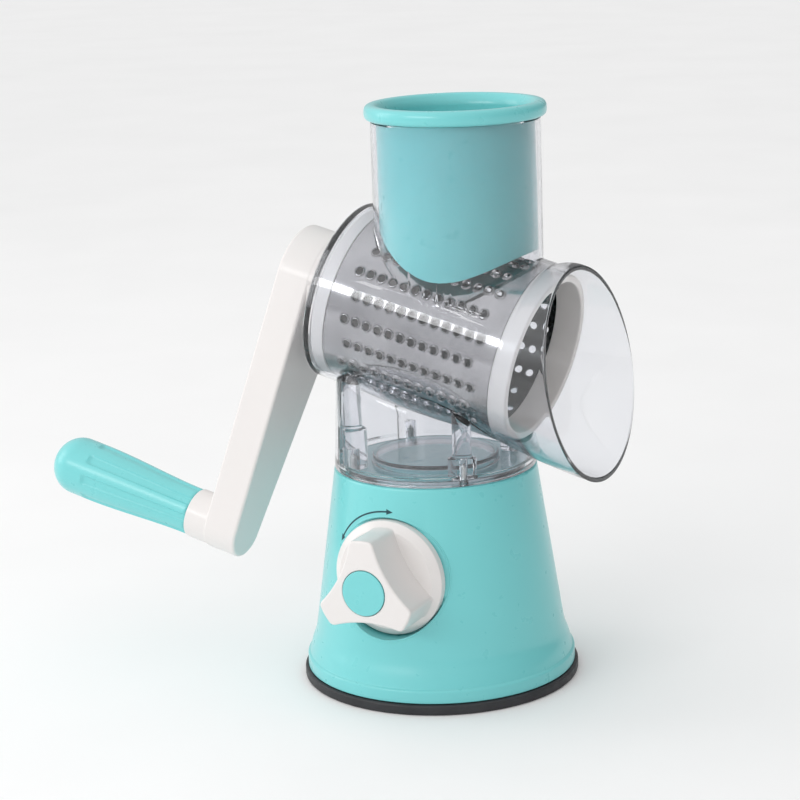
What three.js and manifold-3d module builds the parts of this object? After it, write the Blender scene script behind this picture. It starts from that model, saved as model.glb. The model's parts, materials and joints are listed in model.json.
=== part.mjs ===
// Rotary cheese grater: a suction base with a lock knob, a clear drum housing with a feed chute,
// a removable steel grating drum, a crank with a turning grip, and a food pusher.
// Millimetres, +Z up. The origin is the middle of the suction pad's underside. The drum's axis
// leans down towards +X, where the discharge mouth is. The crank is at the -X end and the lock
// knob faces -Y.

import * as THREE from 'three';
import { mergeVertices } from 'three/addons/utils/BufferGeometryUtils.js';
import Module from 'manifold-3d';

const wasm = await Module();
wasm.setup();

const { degToRad, lerp } = THREE.MathUtils;

// Roundness of the curved pieces, in sides to a full turn
const LARGE_SIDES = 40;
const MEDIUM_SIDES = 24;
const SMALL_SIDES = 16;
const SCREW_SIDES = 10;
const HEX_SIDES = 6;

// Clearance between pieces that touch, and how far a cutting shape runs past what it cuts
const GAP = 0.3;
const PAST = 1;

// Suction base
const PAD_RADIUS = 65;
const PAD_RIM_HEIGHT = 4.6;
const PAD_RIM_INSIDE = 56;
const PAD_THICKNESS = 3.2;
const BASE_BOTTOM = PAD_RIM_HEIGHT + GAP;
const BASE_TOP = 101;
const BASE_TOP_RADIUS = 47.3;
const BASE_WALL = 3;
const FLANGE_RADIUS = 63.5;
const FLANGE_TOP = 10.8;
const STEP_TOP = 19;
const CONE_FOOT_HEIGHT = 28;
const CONE_FOOT_RADIUS = 59.7;
const DECK_THICKNESS = 3;
const DECK_UNDERSIDE = BASE_TOP - DECK_THICKNESS;
const SPRING_PLATE_RADIUS = 50;
const SPRING_PLATE_BOTTOM = 29.3;
const SPRING_PLATE_TOP = 32;
const SPRING_PLATE_FRONT = -43.5;
const PILLAR_RADIUS = 4;
const PLATE_SCREW_PLACES = [[41, 12], [-41, 12], [-41, -12], [41, -12]];

// Screws
const SHANK_RADIUS = 1.6;
const PILOT_RADIUS = 1.9;
const CLEARANCE_HOLE_RADIUS = 2.1;

// Lock knob, its shaft and the stem that lifts the middle of the pad
const KNOB_HEIGHT = 59.7;
const KNOB_RADIUS = 26.9;
const KNOB_BACK = -47.4;
const KNOB_RIM = -51.2;
const KNOB_SKIRT_FACE = -54.2;
const KNOB_SKIRT_FACE_RADIUS = 23.3;
const KNOB_FRONT = -75.5;
const KNOB_SEAT_RADIUS = KNOB_RADIUS + 0.9;
const KNOB_SEAT_FLOOR = KNOB_BACK + GAP;
const KNOB_CAP_RADIUS = 10.4;
const KNOB_CAP_BACK = -74.3;
const KNOB_CAP_FRONT = -76;
const KNOB_SCREW_SEAT = -71.5;
const LOBE_COUNT = 3;
const LOBE_RADIUS = 24.2;
const LOBE_HALF_ANGLE = degToRad(14);
const FIRST_LOBE_ANGLE = degToRad(92);
const VALLEY_CONTROL_RADIUS = 11.2;
const SHAFT_RADIUS = 5;
const SHAFT_FRONT = -68;
const SHAFT_BACK = -9;
const SHAFT_DISC_RADIUS = 8;
const SHAFT_DISC_BACK = -5;
const BEARING_TUBE_RADIUS = 9;
const BEARING_TUBE_END = -30;
const ECCENTRIC_OFFSET = 2.5;
const ECCENTRIC_PIN_RADIUS = 3;
const ECCENTRIC_REST_ANGLE = degToRad(225);
const STEM_RADIUS = 5;
const STEM_FOOT_RADIUS = 15;
const STEM_FOOT_BOTTOM = PAD_THICKNESS + GAP;
const STEM_FOOT_TOP = STEM_FOOT_BOTTOM + 2.6;
const STEM_FOOT_CONE_TOP = STEM_FOOT_TOP + 1.5;
const SPRING_RADIUS = 8.5;
const SPRING_WIRE_RADIUS = 0.8;
const SPRING_TURNS = 5;

// Drum housing: barrel, mouth, chute and pedestal
const AXIS_HEIGHT = 169.7;
const AXIS_TILT = degToRad(14.5);
const BARREL_RADIUS = 42.4;
const BARREL_WALL = 2.2;
const BARREL_BORE_RADIUS = BARREL_RADIUS - BARREL_WALL;
const BARREL_EDGE = 1.2;
const BARREL_REAR = -44.2;
const REAR_WALL_FACE = -41.6;
const HUB_HOLE_RADIUS = 14.3;
const FLARE_START = 52;
const MOUTH_CENTRE = 81.1;
const MOUTH_RADIUS = 48.8;
const MOUTH_TILT = degToRad(-23.4);
const CHUTE_X = 15.3;
const CHUTE_RADIUS = 38.4;
const CHUTE_BORE_RADIUS = 36.3;
const CHUTE_TOP = 262.5;
const PEDESTAL_BOTTOM = BASE_TOP + GAP;
const PEDESTAL_FOOT_RADIUS = 47.2;
const PEDESTAL_NECK_RADIUS = 44.6;
const PEDESTAL_NECK_HEIGHT = 150;
const FOOT_RIM_RADIUS = 42.8;
const FOOT_RIM_TOP = 104.5;
const SHOULDER_DEPTH = 25;
const SEAT_PLATE_THICKNESS = 2;
const SEAT_PLATE_TOP = PEDESTAL_BOTTOM + SEAT_PLATE_THICKNESS;
const SEAT_RING_RADIUS = 29.4;
const SEAT_RING_TOP = 107;
const POST_X = 27.5;
const POST_Y = 28.5;
const POST_RADIUS = 4.2;
const POST_FOOT_RADIUS = 6.5;
const REAR_POST_STEP = 122;
const FRONT_POST_STEP = 113;
const HOUSING_SCREW_PLACES = [[-POST_X, -POST_Y], [POST_X, -POST_Y], [POST_X, POST_Y], [-POST_X, POST_Y]];

// Grating drum
const DRUM_RADIUS = 38.9;
const SHEET_THICKNESS = 0.6;
const SHEET_REAR = -34.1;
const SHEET_FRONT = 50.1;
const RING_RADIUS = 39.2;
const RING_BORE_RADIUS = 35.8;
const RING_EDGE = 0.8;
const SPIGOT_RADIUS = DRUM_RADIUS - SHEET_THICKNESS - GAP;
const SPIGOT_LENGTH = 6;
const FRONT_RING_END = 59.5;
const REAR_RING_END = -40.8;
const DRUM_WEB_FRONT = -37.4;
const DRUM_HUB_RADIUS = 13.4;
const DRUM_HUB_END = -22;

// Crank and grip
const ARM_INNER_FACE = -53.8;
const ARM_OUTER_FACE = -71.4;
const HUB_RADIUS = 23.6;
const HUB_INNER_END = -46.5;
const HUB_EDGE_ROUND = 5;
const HUB_CAP_RADIUS = 8.7;
const HUB_CAP_SEAT = -69.4;
const HUB_SCREW_SEAT = -67;
const HUB_SCREW_HOLE_RADIUS = 2.5;
const ARM_END_RADIUS = 12.3;
const GRIP_OFFSET_Y = -37.5;
const GRIP_OFFSET_Z = -118.8;
const STUB_END = -82.5;
const GRIP_START = STUB_END - GAP;
const GRIP_END = -163;
const GRIP_NECK_RADIUS = 11.4;
const GRIP_BULB_RADIUS = 14;
const GRIP_PIN_RADIUS = 3.7;
const GRIP_PIN_SEAT = -64;
const GRIP_PIN_TIP = -147;
const JOURNAL_RADIUS = 13.9;
const JOURNAL_REAR = -46.2;
const DRIVE_KEY_RADIUS = 9.4;
const TAIL_KEY_RADIUS = 8;
const TAIL_KEY_END = -62;
const KEY_PLAY = 0.4;

// Food pusher
const PUSHER_RADIUS = 35.7;
const PUSHER_BORE_RADIUS = 33.3;
const PUSHER_RIM_RADIUS = 41.1;
const PUSHER_RIM_BOTTOM = CHUTE_TOP + GAP;
const PUSHER_TOP = 269.8;
const SADDLE_RADIUS = 45;
const SADDLE_THICKNESS = 2.4;

const plainMaterial = (color, roughness, metalness) => (
  () => new THREE.MeshStandardMaterial({ color, roughness, metalness })
);
const turquoise = plainMaterial(0x7fdcdc, 0.28, 0);
const white = plainMaterial(0xf0edeb, 0.3, 0);
const greyPlastic = plainMaterial(0xb9bcbd, 0.5, 0);
const rubber = plainMaterial(0x222225, 0.7, 0);
const steel = plainMaterial(0xc9cccd, 0.2, 1);

function clear() {
  const material = new THREE.MeshStandardMaterial({ color: 0xdfe6ea, roughness: 0.08, metalness: 0 });
  material.transparent = true;
  material.opacity = 0.35;
  return material;
}

const grater = new THREE.Group();

// Everything on the drum's axis is drawn along local X and then leaned by this group
const drumLine = new THREE.Group();
drumLine.position.z = AXIS_HEIGHT;
drumLine.rotation.y = AXIS_TILT;
grater.add(drumLine);
const drumLineMatrix = new THREE.Matrix4().makeRotationY(AXIS_TILT).setPosition(0, 0, AXIS_HEIGHT);

function addPiece(parent, name, geometry, material) {
  const mesh = new THREE.Mesh(geometry, material);
  mesh.name = name;
  parent.add(mesh);
}

// A closed triangle mesh as a solid that can be joined and cut
function toSolid(geometry) {
  const bare = geometry.clone();
  bare.deleteAttribute('normal');
  bare.deleteAttribute('uv');
  const merged = mergeVertices(bare, 1e-4);
  return new wasm.Manifold(new wasm.Mesh({
    numProp: 3,
    vertProperties: new Float32Array(merged.attributes.position.array),
    triVerts: new Uint32Array(merged.index.array),
  }));
}

function toGeometry(solid) {
  const mesh = solid.getMesh();
  const geometry = new THREE.BufferGeometry();
  geometry.setAttribute('position', new THREE.BufferAttribute(mesh.vertProperties, 3));
  geometry.setIndex(new THREE.BufferAttribute(mesh.triVerts, 1));
  return geometry;
}

// Profiles are [radius, height] pairs, anticlockwise with the radius to the right
function lathe(profile, sides) {
  return new THREE.LatheGeometry(profile.map(([radius, height]) => new THREE.Vector2(radius, height)), sides);
}

function revolveAboutZ(profile, sides) {
  return lathe(profile, sides).rotateX(Math.PI / 2);
}

function revolveAboutX(profile, sides) {
  return lathe(profile, sides).rotateZ(-Math.PI / 2);
}

// The profile's height runs along -Y, out of the front of the base
function revolveAboutFront(profile, sides) {
  return lathe(profile, sides).rotateX(Math.PI);
}

const rodProfile = (radius, start, end) => [[0, start], [radius, start], [radius, end], [0, end]];

function uprightRod(x, y, radius, bottom, top, sides) {
  return revolveAboutZ(rodProfile(radius, bottom, top), sides).translate(x, y, 0);
}

function axisRod(radius, start, end, sides) {
  return revolveAboutX(rodProfile(radius, start, end), sides);
}

// A rod along -Y between two depths, the first nearer the base's middle
function frontRod(radius, backY, frontY, sides) {
  return revolveAboutFront(rodProfile(radius, -backY, -frontY), sides);
}

function block(xRange, yRange, zRange) {
  const size = [xRange, yRange, zRange].map(([low, high]) => high - low);
  const middle = [xRange, yRange, zRange].map(([low, high]) => (low + high) / 2);
  return new THREE.BoxGeometry(...size).translate(...middle);
}

// A flat-headed screw pointing along +Z, its head's underside at height zero
function screwProfile(headRadius, headHeight, shankRadius, length) {
  return [
    [0, -headHeight], [headRadius * 0.8, -headHeight], [headRadius, -headHeight / 2], [headRadius, 0],
    [shankRadius, 0], [shankRadius, length - shankRadius], [0, length],
  ];
}

// ---------------------------------------------------------------- suction base

function suctionPad() {
  const edge = 0.6;
  return revolveAboutZ([
    [0, 0], [PAD_RADIUS - edge, 0], [PAD_RADIUS, edge], [PAD_RADIUS, PAD_RIM_HEIGHT - edge],
    [PAD_RADIUS - edge, PAD_RIM_HEIGHT], [PAD_RIM_INSIDE + 1, PAD_RIM_HEIGHT],
    [PAD_RIM_INSIDE, PAD_THICKNESS], [0, PAD_THICKNESS],
  ], LARGE_SIDES);
}

// Radius of the base's plain cone at a height
function coneRadius(height) {
  return lerp(CONE_FOOT_RADIUS, BASE_TOP_RADIUS, (height - CONE_FOOT_HEIGHT) / (BASE_TOP - CONE_FOOT_HEIGHT));
}

// Hollow body: a flange, a step curving in to the cone, the cone, and the deck across its top
function baseCone() {
  const crease = 0.8;
  const stepDraft = 2;
  const topEdge = 1;
  return toSolid(revolveAboutZ([
    [0, DECK_UNDERSIDE], [coneRadius(DECK_UNDERSIDE) - BASE_WALL, DECK_UNDERSIDE],
    [CONE_FOOT_RADIUS - BASE_WALL, CONE_FOOT_HEIGHT], [FLANGE_RADIUS - BASE_WALL, FLANGE_TOP],
    [FLANGE_RADIUS - BASE_WALL, BASE_BOTTOM], [FLANGE_RADIUS, BASE_BOTTOM], [FLANGE_RADIUS, FLANGE_TOP],
    [FLANGE_RADIUS - crease, FLANGE_TOP + crease], [FLANGE_RADIUS - stepDraft, STEP_TOP],
    [CONE_FOOT_RADIUS + crease, (STEP_TOP + CONE_FOOT_HEIGHT) / 2], [CONE_FOOT_RADIUS, CONE_FOOT_HEIGHT],
    [coneRadius(BASE_TOP - topEdge), BASE_TOP - topEdge], [BASE_TOP_RADIUS - topEdge, BASE_TOP],
    [0, BASE_TOP],
  ], LARGE_SIDES));
}

function baseShell() {
  const atKnob = (geometry) => toSolid(geometry.translate(0, 0, KNOB_HEIGHT));
  const outFront = -80;

  // Round seat that the knob's skirt sits in, walled all round, with the shaft's bearing tube behind it
  const seatWall = 2.4;
  const coneInside = toSolid(revolveAboutZ([
    [0, BASE_BOTTOM], [CONE_FOOT_RADIUS - PAST, BASE_BOTTOM], [CONE_FOOT_RADIUS - PAST, CONE_FOOT_HEIGHT],
    [BASE_TOP_RADIUS - PAST, BASE_TOP - PAST], [0, BASE_TOP - PAST],
  ], LARGE_SIDES));
  const cup = atKnob(
    frontRod(KNOB_SEAT_RADIUS + seatWall, KNOB_SEAT_FLOOR + seatWall, outFront, MEDIUM_SIDES))
    .intersect(coneInside);
  const tube = atKnob(frontRod(BEARING_TUBE_RADIUS, BEARING_TUBE_END, KNOB_SEAT_FLOOR, SMALL_SIDES));
  const hollow = atKnob(frontRod(KNOB_SEAT_RADIUS, KNOB_SEAT_FLOOR, outFront, MEDIUM_SIDES));
  const bore = atKnob(frontRod(SHAFT_RADIUS + GAP, BEARING_TUBE_END + PAST, outFront, SMALL_SIDES));
  let shell = baseCone().add(cup).add(tube).subtract(hollow).subtract(bore);

  // Pillars under the deck for the spring plate's screws
  const pillarBottom = SPRING_PLATE_TOP + GAP;
  const pilotTop = pillarBottom + 16;
  for (const [x, y] of PLATE_SCREW_PLACES) {
    const pillar = uprightRod(x, y, PILLAR_RADIUS, pillarBottom, DECK_UNDERSIDE + PAST, SMALL_SIDES);
    const pilot = uprightRod(x, y, PILOT_RADIUS, pillarBottom - PAST, pilotTop, SCREW_SIDES);
    shell = shell.add(toSolid(pillar)).subtract(toSolid(pilot));
  }

  // Screw holes through the deck, up into the housing's posts
  for (const [x, y] of HOUSING_SCREW_PLACES) {
    const hole = uprightRod(x, y, CLEARANCE_HOLE_RADIUS, DECK_UNDERSIDE - PAST, BASE_TOP + PAST, SCREW_SIDES);
    shell = shell.subtract(toSolid(hole));
  }
  return toGeometry(shell);
}

// Round plate across the base that the spring presses on, its front edge cut flat to clear the knob's seat
function springPlate() {
  const stemHole = STEM_RADIUS + 0.8;
  const below = SPRING_PLATE_BOTTOM - PAST;
  const above = SPRING_PLATE_TOP + PAST;
  let plate = toSolid(revolveAboutZ([
    [stemHole, SPRING_PLATE_BOTTOM], [SPRING_PLATE_RADIUS, SPRING_PLATE_BOTTOM],
    [SPRING_PLATE_RADIUS, SPRING_PLATE_TOP], [stemHole, SPRING_PLATE_TOP], [stemHole, SPRING_PLATE_BOTTOM],
  ], LARGE_SIDES));
  for (const [x, y] of PLATE_SCREW_PLACES) {
    plate = plate.subtract(toSolid(uprightRod(x, y, PILOT_RADIUS, below, above, SCREW_SIDES)));
  }
  const offcut = block(
    [-SPRING_PLATE_RADIUS, SPRING_PLATE_RADIUS], [-SPRING_PLATE_RADIUS - PAST, SPRING_PLATE_FRONT],
    [below, above]);
  return toGeometry(plate.subtract(toSolid(offcut)));
}

function plateScrew(x, y) {
  const head = { radius: 3.2, height: 2.2 };
  return revolveAboutZ(screwProfile(head.radius, head.height, SHANK_RADIUS, 15), SCREW_SIDES)
    .translate(x, y, SPRING_PLATE_BOTTOM - GAP);
}

// Foot on the pad, rod up through the spring plate, and a slotted yoke round the eccentric pin
function suctionStem() {
  const yokeBottom = 47;
  const yokeTop = 68;
  const yokeHalfWidth = 13;
  const yokeHalfDepth = 3.5;
  const slotHalfWidth = 9;
  const slotHalfHeight = ECCENTRIC_PIN_RADIUS + 0.4;
  const pinHeight = KNOB_HEIGHT + ECCENTRIC_OFFSET * Math.sin(ECCENTRIC_REST_ANGLE);
  const rod = toSolid(revolveAboutZ([
    [0, STEM_FOOT_BOTTOM], [STEM_FOOT_RADIUS, STEM_FOOT_BOTTOM], [STEM_FOOT_RADIUS, STEM_FOOT_TOP],
    [STEM_RADIUS, STEM_FOOT_CONE_TOP], [STEM_RADIUS, yokeBottom + PAST], [0, yokeBottom + PAST],
  ], MEDIUM_SIDES));
  const yoke = toSolid(block(
    [-yokeHalfWidth, yokeHalfWidth], [-yokeHalfDepth, yokeHalfDepth], [yokeBottom, yokeTop]));
  const slot = toSolid(block(
    [-slotHalfWidth, slotHalfWidth], [-yokeHalfDepth - PAST, yokeHalfDepth + PAST],
    [pinHeight - slotHalfHeight, pinHeight + slotHalfHeight]));
  return toGeometry(rod.add(yoke).subtract(slot));
}

class Helix extends THREE.Curve {
  getPoint(share) {
    const angle = share * SPRING_TURNS * 2 * Math.PI;
    const bottom = STEM_FOOT_CONE_TOP + GAP + SPRING_WIRE_RADIUS;
    const top = SPRING_PLATE_BOTTOM - GAP - SPRING_WIRE_RADIUS;
    return new THREE.Vector3(
      SPRING_RADIUS * Math.cos(angle), SPRING_RADIUS * Math.sin(angle), lerp(bottom, top, share));
  }
}

function liftSpring() {
  const wireSides = 5;
  const stepsPerTurn = 12;
  const corners = Array.from({ length: wireSides }, (_, side) => {
    const angle = (side / wireSides) * 2 * Math.PI;
    return new THREE.Vector2(SPRING_WIRE_RADIUS * Math.cos(angle), SPRING_WIRE_RADIUS * Math.sin(angle));
  });
  return new THREE.ExtrudeGeometry(new THREE.Shape(corners), {
    steps: SPRING_TURNS * stepsPerTurn, bevelEnabled: false, extrudePath: new Helix(),
  });
}

// ---------------------------------------------------------------- lock knob

// Round in its bearing, hexagonal in the knob, with a disc and an eccentric pin at its inner end
function camShaft() {
  const round = toSolid(frontRod(SHAFT_RADIUS, SHAFT_BACK, KNOB_BACK, SMALL_SIDES));
  const hexEnd = toSolid(frontRod(SHAFT_RADIUS, KNOB_BACK + PAST, SHAFT_FRONT, HEX_SIDES));
  const disc = toSolid(frontRod(SHAFT_DISC_RADIUS, SHAFT_DISC_BACK, SHAFT_BACK - PAST, MEDIUM_SIDES));
  const pinX = ECCENTRIC_OFFSET * Math.cos(ECCENTRIC_REST_ANGLE);
  const pinZ = ECCENTRIC_OFFSET * Math.sin(ECCENTRIC_REST_ANGLE);
  const pin = toSolid(
    frontRod(ECCENTRIC_PIN_RADIUS, -SHAFT_DISC_BACK, SHAFT_DISC_BACK - PAST, SMALL_SIDES)
      .translate(pinX, 0, pinZ));
  const pilot = toSolid(frontRod(PILOT_RADIUS, SHAFT_FRONT + 10, SHAFT_FRONT - PAST, SCREW_SIDES));
  return toGeometry(round.add(hexEnd).add(disc).add(pin).subtract(pilot)).translate(0, 0, KNOB_HEIGHT);
}

// Snap ring behind the bearing tube that keeps the shaft from pulling out
function shaftClip() {
  const front = -BEARING_TUBE_END - GAP;
  const back = front - 1.4;
  const inner = SHAFT_RADIUS + GAP;
  const outer = SHAFT_DISC_RADIUS;
  return revolveAboutFront(
    [[inner, back], [outer, back], [outer, front], [inner, front], [inner, back]], SMALL_SIDES)
    .translate(0, 0, KNOB_HEIGHT);
}

// Three lobes with arcs for ends, joined by hollow curves
function lobeOutline() {
  const shape = new THREE.Shape();
  const turn = (2 * Math.PI) / LOBE_COUNT;
  for (let lobe = 0; lobe < LOBE_COUNT; lobe += 1) {
    const middle = FIRST_LOBE_ANGLE + lobe * turn;
    const start = middle - LOBE_HALF_ANGLE;
    if (lobe === 0) {
      shape.moveTo(LOBE_RADIUS * Math.cos(start), LOBE_RADIUS * Math.sin(start));
    }
    shape.absarc(0, 0, LOBE_RADIUS, start, middle + LOBE_HALF_ANGLE, false);
    const valley = middle + turn / 2;
    const next = middle + turn - LOBE_HALF_ANGLE;
    shape.quadraticCurveTo(
      VALLEY_CONTROL_RADIUS * Math.cos(valley), VALLEY_CONTROL_RADIUS * Math.sin(valley),
      LOBE_RADIUS * Math.cos(next), LOBE_RADIUS * Math.sin(next));
  }
  return shape;
}

function lockKnob() {
  const edge = 1;
  const lobeBack = 2 - KNOB_BACK;
  const pastFront = KNOB_FRONT - PAST;
  const skirt = toSolid(revolveAboutFront([
    [0, -KNOB_BACK], [KNOB_RADIUS, -KNOB_BACK], [KNOB_RADIUS, -KNOB_RIM],
    [KNOB_SKIRT_FACE_RADIUS, -KNOB_SKIRT_FACE], [0, -KNOB_SKIRT_FACE],
  ], LARGE_SIDES));
  const lobes = toSolid(new THREE.ExtrudeGeometry(lobeOutline(), {
    depth: -KNOB_FRONT - lobeBack - 2 * edge, curveSegments: 6, bevelEnabled: true,
    bevelSize: edge, bevelThickness: edge, bevelOffset: -edge, bevelSegments: 1,
  }).rotateX(Math.PI / 2).translate(0, -lobeBack - edge, 0));
  const cuts = [
    frontRod(SHAFT_RADIUS + KEY_PLAY, KNOB_BACK + PAST, SHAFT_FRONT - GAP, HEX_SIDES),
    frontRod(CLEARANCE_HOLE_RADIUS, KNOB_BACK, pastFront, SCREW_SIDES),
    frontRod(5, KNOB_SCREW_SEAT, pastFront, SMALL_SIDES),
    frontRod(KNOB_CAP_RADIUS + GAP, KNOB_CAP_BACK + GAP, pastFront, MEDIUM_SIDES),
  ];
  const knob = cuts.reduce((solid, cut) => solid.subtract(toSolid(cut)), skirt.add(lobes));
  return toGeometry(knob).translate(0, 0, KNOB_HEIGHT);
}

function knobCap() {
  const edge = 0.5;
  return revolveAboutFront([
    [0, -KNOB_CAP_BACK], [KNOB_CAP_RADIUS, -KNOB_CAP_BACK], [KNOB_CAP_RADIUS, -KNOB_CAP_FRONT - edge],
    [KNOB_CAP_RADIUS - edge, -KNOB_CAP_FRONT], [0, -KNOB_CAP_FRONT],
  ], MEDIUM_SIDES).translate(0, 0, KNOB_HEIGHT);
}

// Points towards +Y, into the end of the shaft
function knobScrew() {
  const head = { radius: 4.2, height: 1.8 };
  return revolveAboutZ(screwProfile(head.radius, head.height, SHANK_RADIUS, 11), SCREW_SIDES)
    .rotateX(-Math.PI / 2).translate(0, KNOB_SCREW_SEAT - GAP, KNOB_HEIGHT);
}

// ---------------------------------------------------------------- clear housing

// Joins rings of points into one closed body. Each ring is a circle round the drum's axis, given
// by its station along the axis, its radius and how far its plane leans. The last ring joins the first.
function loftRings(rings, sides) {
  const positions = [];
  for (const { station, radius, lean } of rings) {
    for (let side = 0; side < sides; side += 1) {
      const angle = (side / sides) * 2 * Math.PI;
      const up = radius * Math.cos(angle);
      positions.push(station + up * Math.sin(lean), radius * Math.sin(angle), up * Math.cos(lean));
    }
  }
  const triangles = [];
  for (let ring = 0; ring < rings.length; ring += 1) {
    const here = ring * sides;
    const there = ((ring + 1) % rings.length) * sides;
    for (let side = 0; side < sides; side += 1) {
      const next = (side + 1) % sides;
      triangles.push(here + side, there + side, there + next);
      triangles.push(here + side, there + next, here + next);
    }
  }
  const geometry = new THREE.BufferGeometry();
  geometry.setAttribute('position', new THREE.Float32BufferAttribute(positions, 3));
  geometry.setIndex(triangles);
  return geometry;
}

// From the round barrel to the wider mouth, whose plane leans over
function flareRings(thickness) {
  const steps = 3;
  return Array.from({ length: steps + 1 }, (_, step) => ({
    station: lerp(FLARE_START, MOUTH_CENTRE, step / steps),
    radius: lerp(BARREL_RADIUS, MOUTH_RADIUS, step / steps) - thickness,
    lean: (MOUTH_TILT * step) / steps,
  }));
}

function barrelShell() {
  const upright = (station, radius) => ({ station, radius, lean: 0 });
  return loftRings([
    upright(BARREL_REAR, BARREL_RADIUS - BARREL_EDGE), upright(BARREL_REAR + BARREL_EDGE, BARREL_RADIUS),
    ...flareRings(0),
    ...flareRings(BARREL_WALL).reverse(),
    upright(REAR_WALL_FACE, BARREL_BORE_RADIUS), upright(REAR_WALL_FACE, HUB_HOLE_RADIUS),
    upright(BARREL_REAR, HUB_HOLE_RADIUS),
  ], LARGE_SIDES);
}

const leaned = (geometry) => toSolid(geometry.applyMatrix4(drumLineMatrix));

// All space between two heights measured square to the drum's axis
function slabAcrossAxis(low, high) {
  const reach = 200;
  return leaned(block([-reach, reach], [-reach, reach], [low, high]));
}

function chuteTube(barrelBore) {
  const foot = 140;
  const aboveAxis = slabAcrossAxis(0, 200);
  const bore = toSolid(uprightRod(CHUTE_X, 0, CHUTE_BORE_RADIUS, foot, CHUTE_TOP + PAST, LARGE_SIDES))
    .intersect(aboveAxis);
  const tube = toSolid(uprightRod(CHUTE_X, 0, CHUTE_RADIUS, foot, CHUTE_TOP, LARGE_SIDES))
    .intersect(aboveAxis).subtract(bore).subtract(barrelBore);
  return { tube, bore };
}

// Round foot that narrows up to a shoulder under the barrel
function pedestal(barrelBore) {
  const outside = toSolid(revolveAboutZ([
    [0, PEDESTAL_BOTTOM], [PEDESTAL_FOOT_RADIUS, PEDESTAL_BOTTOM],
    [PEDESTAL_NECK_RADIUS, PEDESTAL_NECK_HEIGHT], [0, PEDESTAL_NECK_HEIGHT],
  ], LARGE_SIDES)).intersect(slabAcrossAxis(-200, -SHOULDER_DEPTH));
  const inside = toSolid(revolveAboutZ([
    [0, PEDESTAL_BOTTOM - PAST], [FOOT_RIM_RADIUS, PEDESTAL_BOTTOM - PAST], [FOOT_RIM_RADIUS, FOOT_RIM_TOP],
    [PEDESTAL_FOOT_RADIUS - BARREL_WALL, FOOT_RIM_TOP + 1],
    [PEDESTAL_NECK_RADIUS - BARREL_WALL, PEDESTAL_NECK_HEIGHT + PAST], [0, PEDESTAL_NECK_HEIGHT + PAST],
  ], LARGE_SIDES)).intersect(slabAcrossAxis(-200, -SHOULDER_DEPTH - BARREL_WALL));
  return outside.subtract(inside).subtract(barrelBore);
}

function clearHousing() {
  // Turned by a quarter so that its sides line up with those of the lofted barrel
  const barrelBore = leaned(
    axisRod(BARREL_BORE_RADIUS, REAR_WALL_FACE, MOUTH_CENTRE, LARGE_SIDES).rotateX(Math.PI / 2));
  const chute = chuteTube(barrelBore);
  let housing = leaned(barrelShell()).subtract(chute.bore).add(chute.tube).add(pedestal(barrelBore));

  // Stepped posts from the seat plate up to the barrel
  const bottom = SEAT_PLATE_TOP + GAP;
  const top = PEDESTAL_NECK_HEIGHT + 4;
  const pilotDepth = 9;
  for (const [x, y] of HOUSING_SCREW_PLACES) {
    const step = x < 0 ? REAR_POST_STEP : FRONT_POST_STEP;
    const foot = toSolid(uprightRod(x, y, POST_FOOT_RADIUS, bottom, step, SMALL_SIDES));
    const neck = toSolid(uprightRod(x, y, POST_RADIUS, step - PAST, top, SMALL_SIDES));
    const pilot = toSolid(uprightRod(x, y, PILOT_RADIUS, bottom - PAST, bottom + pilotDepth, SCREW_SIDES));
    housing = housing.add(foot.add(neck).subtract(barrelBore)).subtract(pilot);
  }
  return toGeometry(housing);
}

// Clear plate between the base and the housing, with a raised ring in its middle
function seatPlate() {
  const radius = FOOT_RIM_RADIUS - 0.4;
  const ringWall = 2;
  let plate = toSolid(revolveAboutZ([
    [0, SEAT_RING_TOP - ringWall], [SEAT_RING_RADIUS - ringWall, SEAT_RING_TOP - ringWall],
    [SEAT_RING_RADIUS - ringWall, PEDESTAL_BOTTOM], [radius, PEDESTAL_BOTTOM], [radius, SEAT_PLATE_TOP],
    [SEAT_RING_RADIUS, SEAT_PLATE_TOP], [SEAT_RING_RADIUS, SEAT_RING_TOP], [0, SEAT_RING_TOP],
  ], LARGE_SIDES));
  for (const [x, y] of HOUSING_SCREW_PLACES) {
    const hole = uprightRod(
      x, y, CLEARANCE_HOLE_RADIUS, PEDESTAL_BOTTOM - PAST, SEAT_PLATE_TOP + PAST, SCREW_SIDES);
    plate = plate.subtract(toSolid(hole));
  }
  return toGeometry(plate);
}

function housingScrew(x, y) {
  const head = { radius: 3.6, height: 2.2 };
  return revolveAboutZ(screwProfile(head.radius, head.height, SHANK_RADIUS, 13), SCREW_SIDES)
    .translate(x, y, DECK_UNDERSIDE - GAP);
}

// ---------------------------------------------------------------- grating drum

function drumShell() {
  const inner = DRUM_RADIUS - SHEET_THICKNESS;
  return revolveAboutX([
    [inner, SHEET_REAR], [DRUM_RADIUS, SHEET_REAR], [DRUM_RADIUS, SHEET_FRONT], [inner, SHEET_FRONT],
    [inner, SHEET_REAR],
  ], LARGE_SIDES);
}

function drumFrontRing() {
  const shoulder = SHEET_FRONT + GAP;
  const spigotEnd = shoulder - SPIGOT_LENGTH;
  return revolveAboutX([
    [RING_BORE_RADIUS, spigotEnd], [SPIGOT_RADIUS, spigotEnd], [SPIGOT_RADIUS, shoulder],
    [RING_RADIUS, shoulder], [RING_RADIUS, FRONT_RING_END - RING_EDGE],
    [RING_RADIUS - RING_EDGE, FRONT_RING_END], [RING_BORE_RADIUS, FRONT_RING_END],
    [RING_BORE_RADIUS, spigotEnd],
  ], LARGE_SIDES);
}

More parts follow.
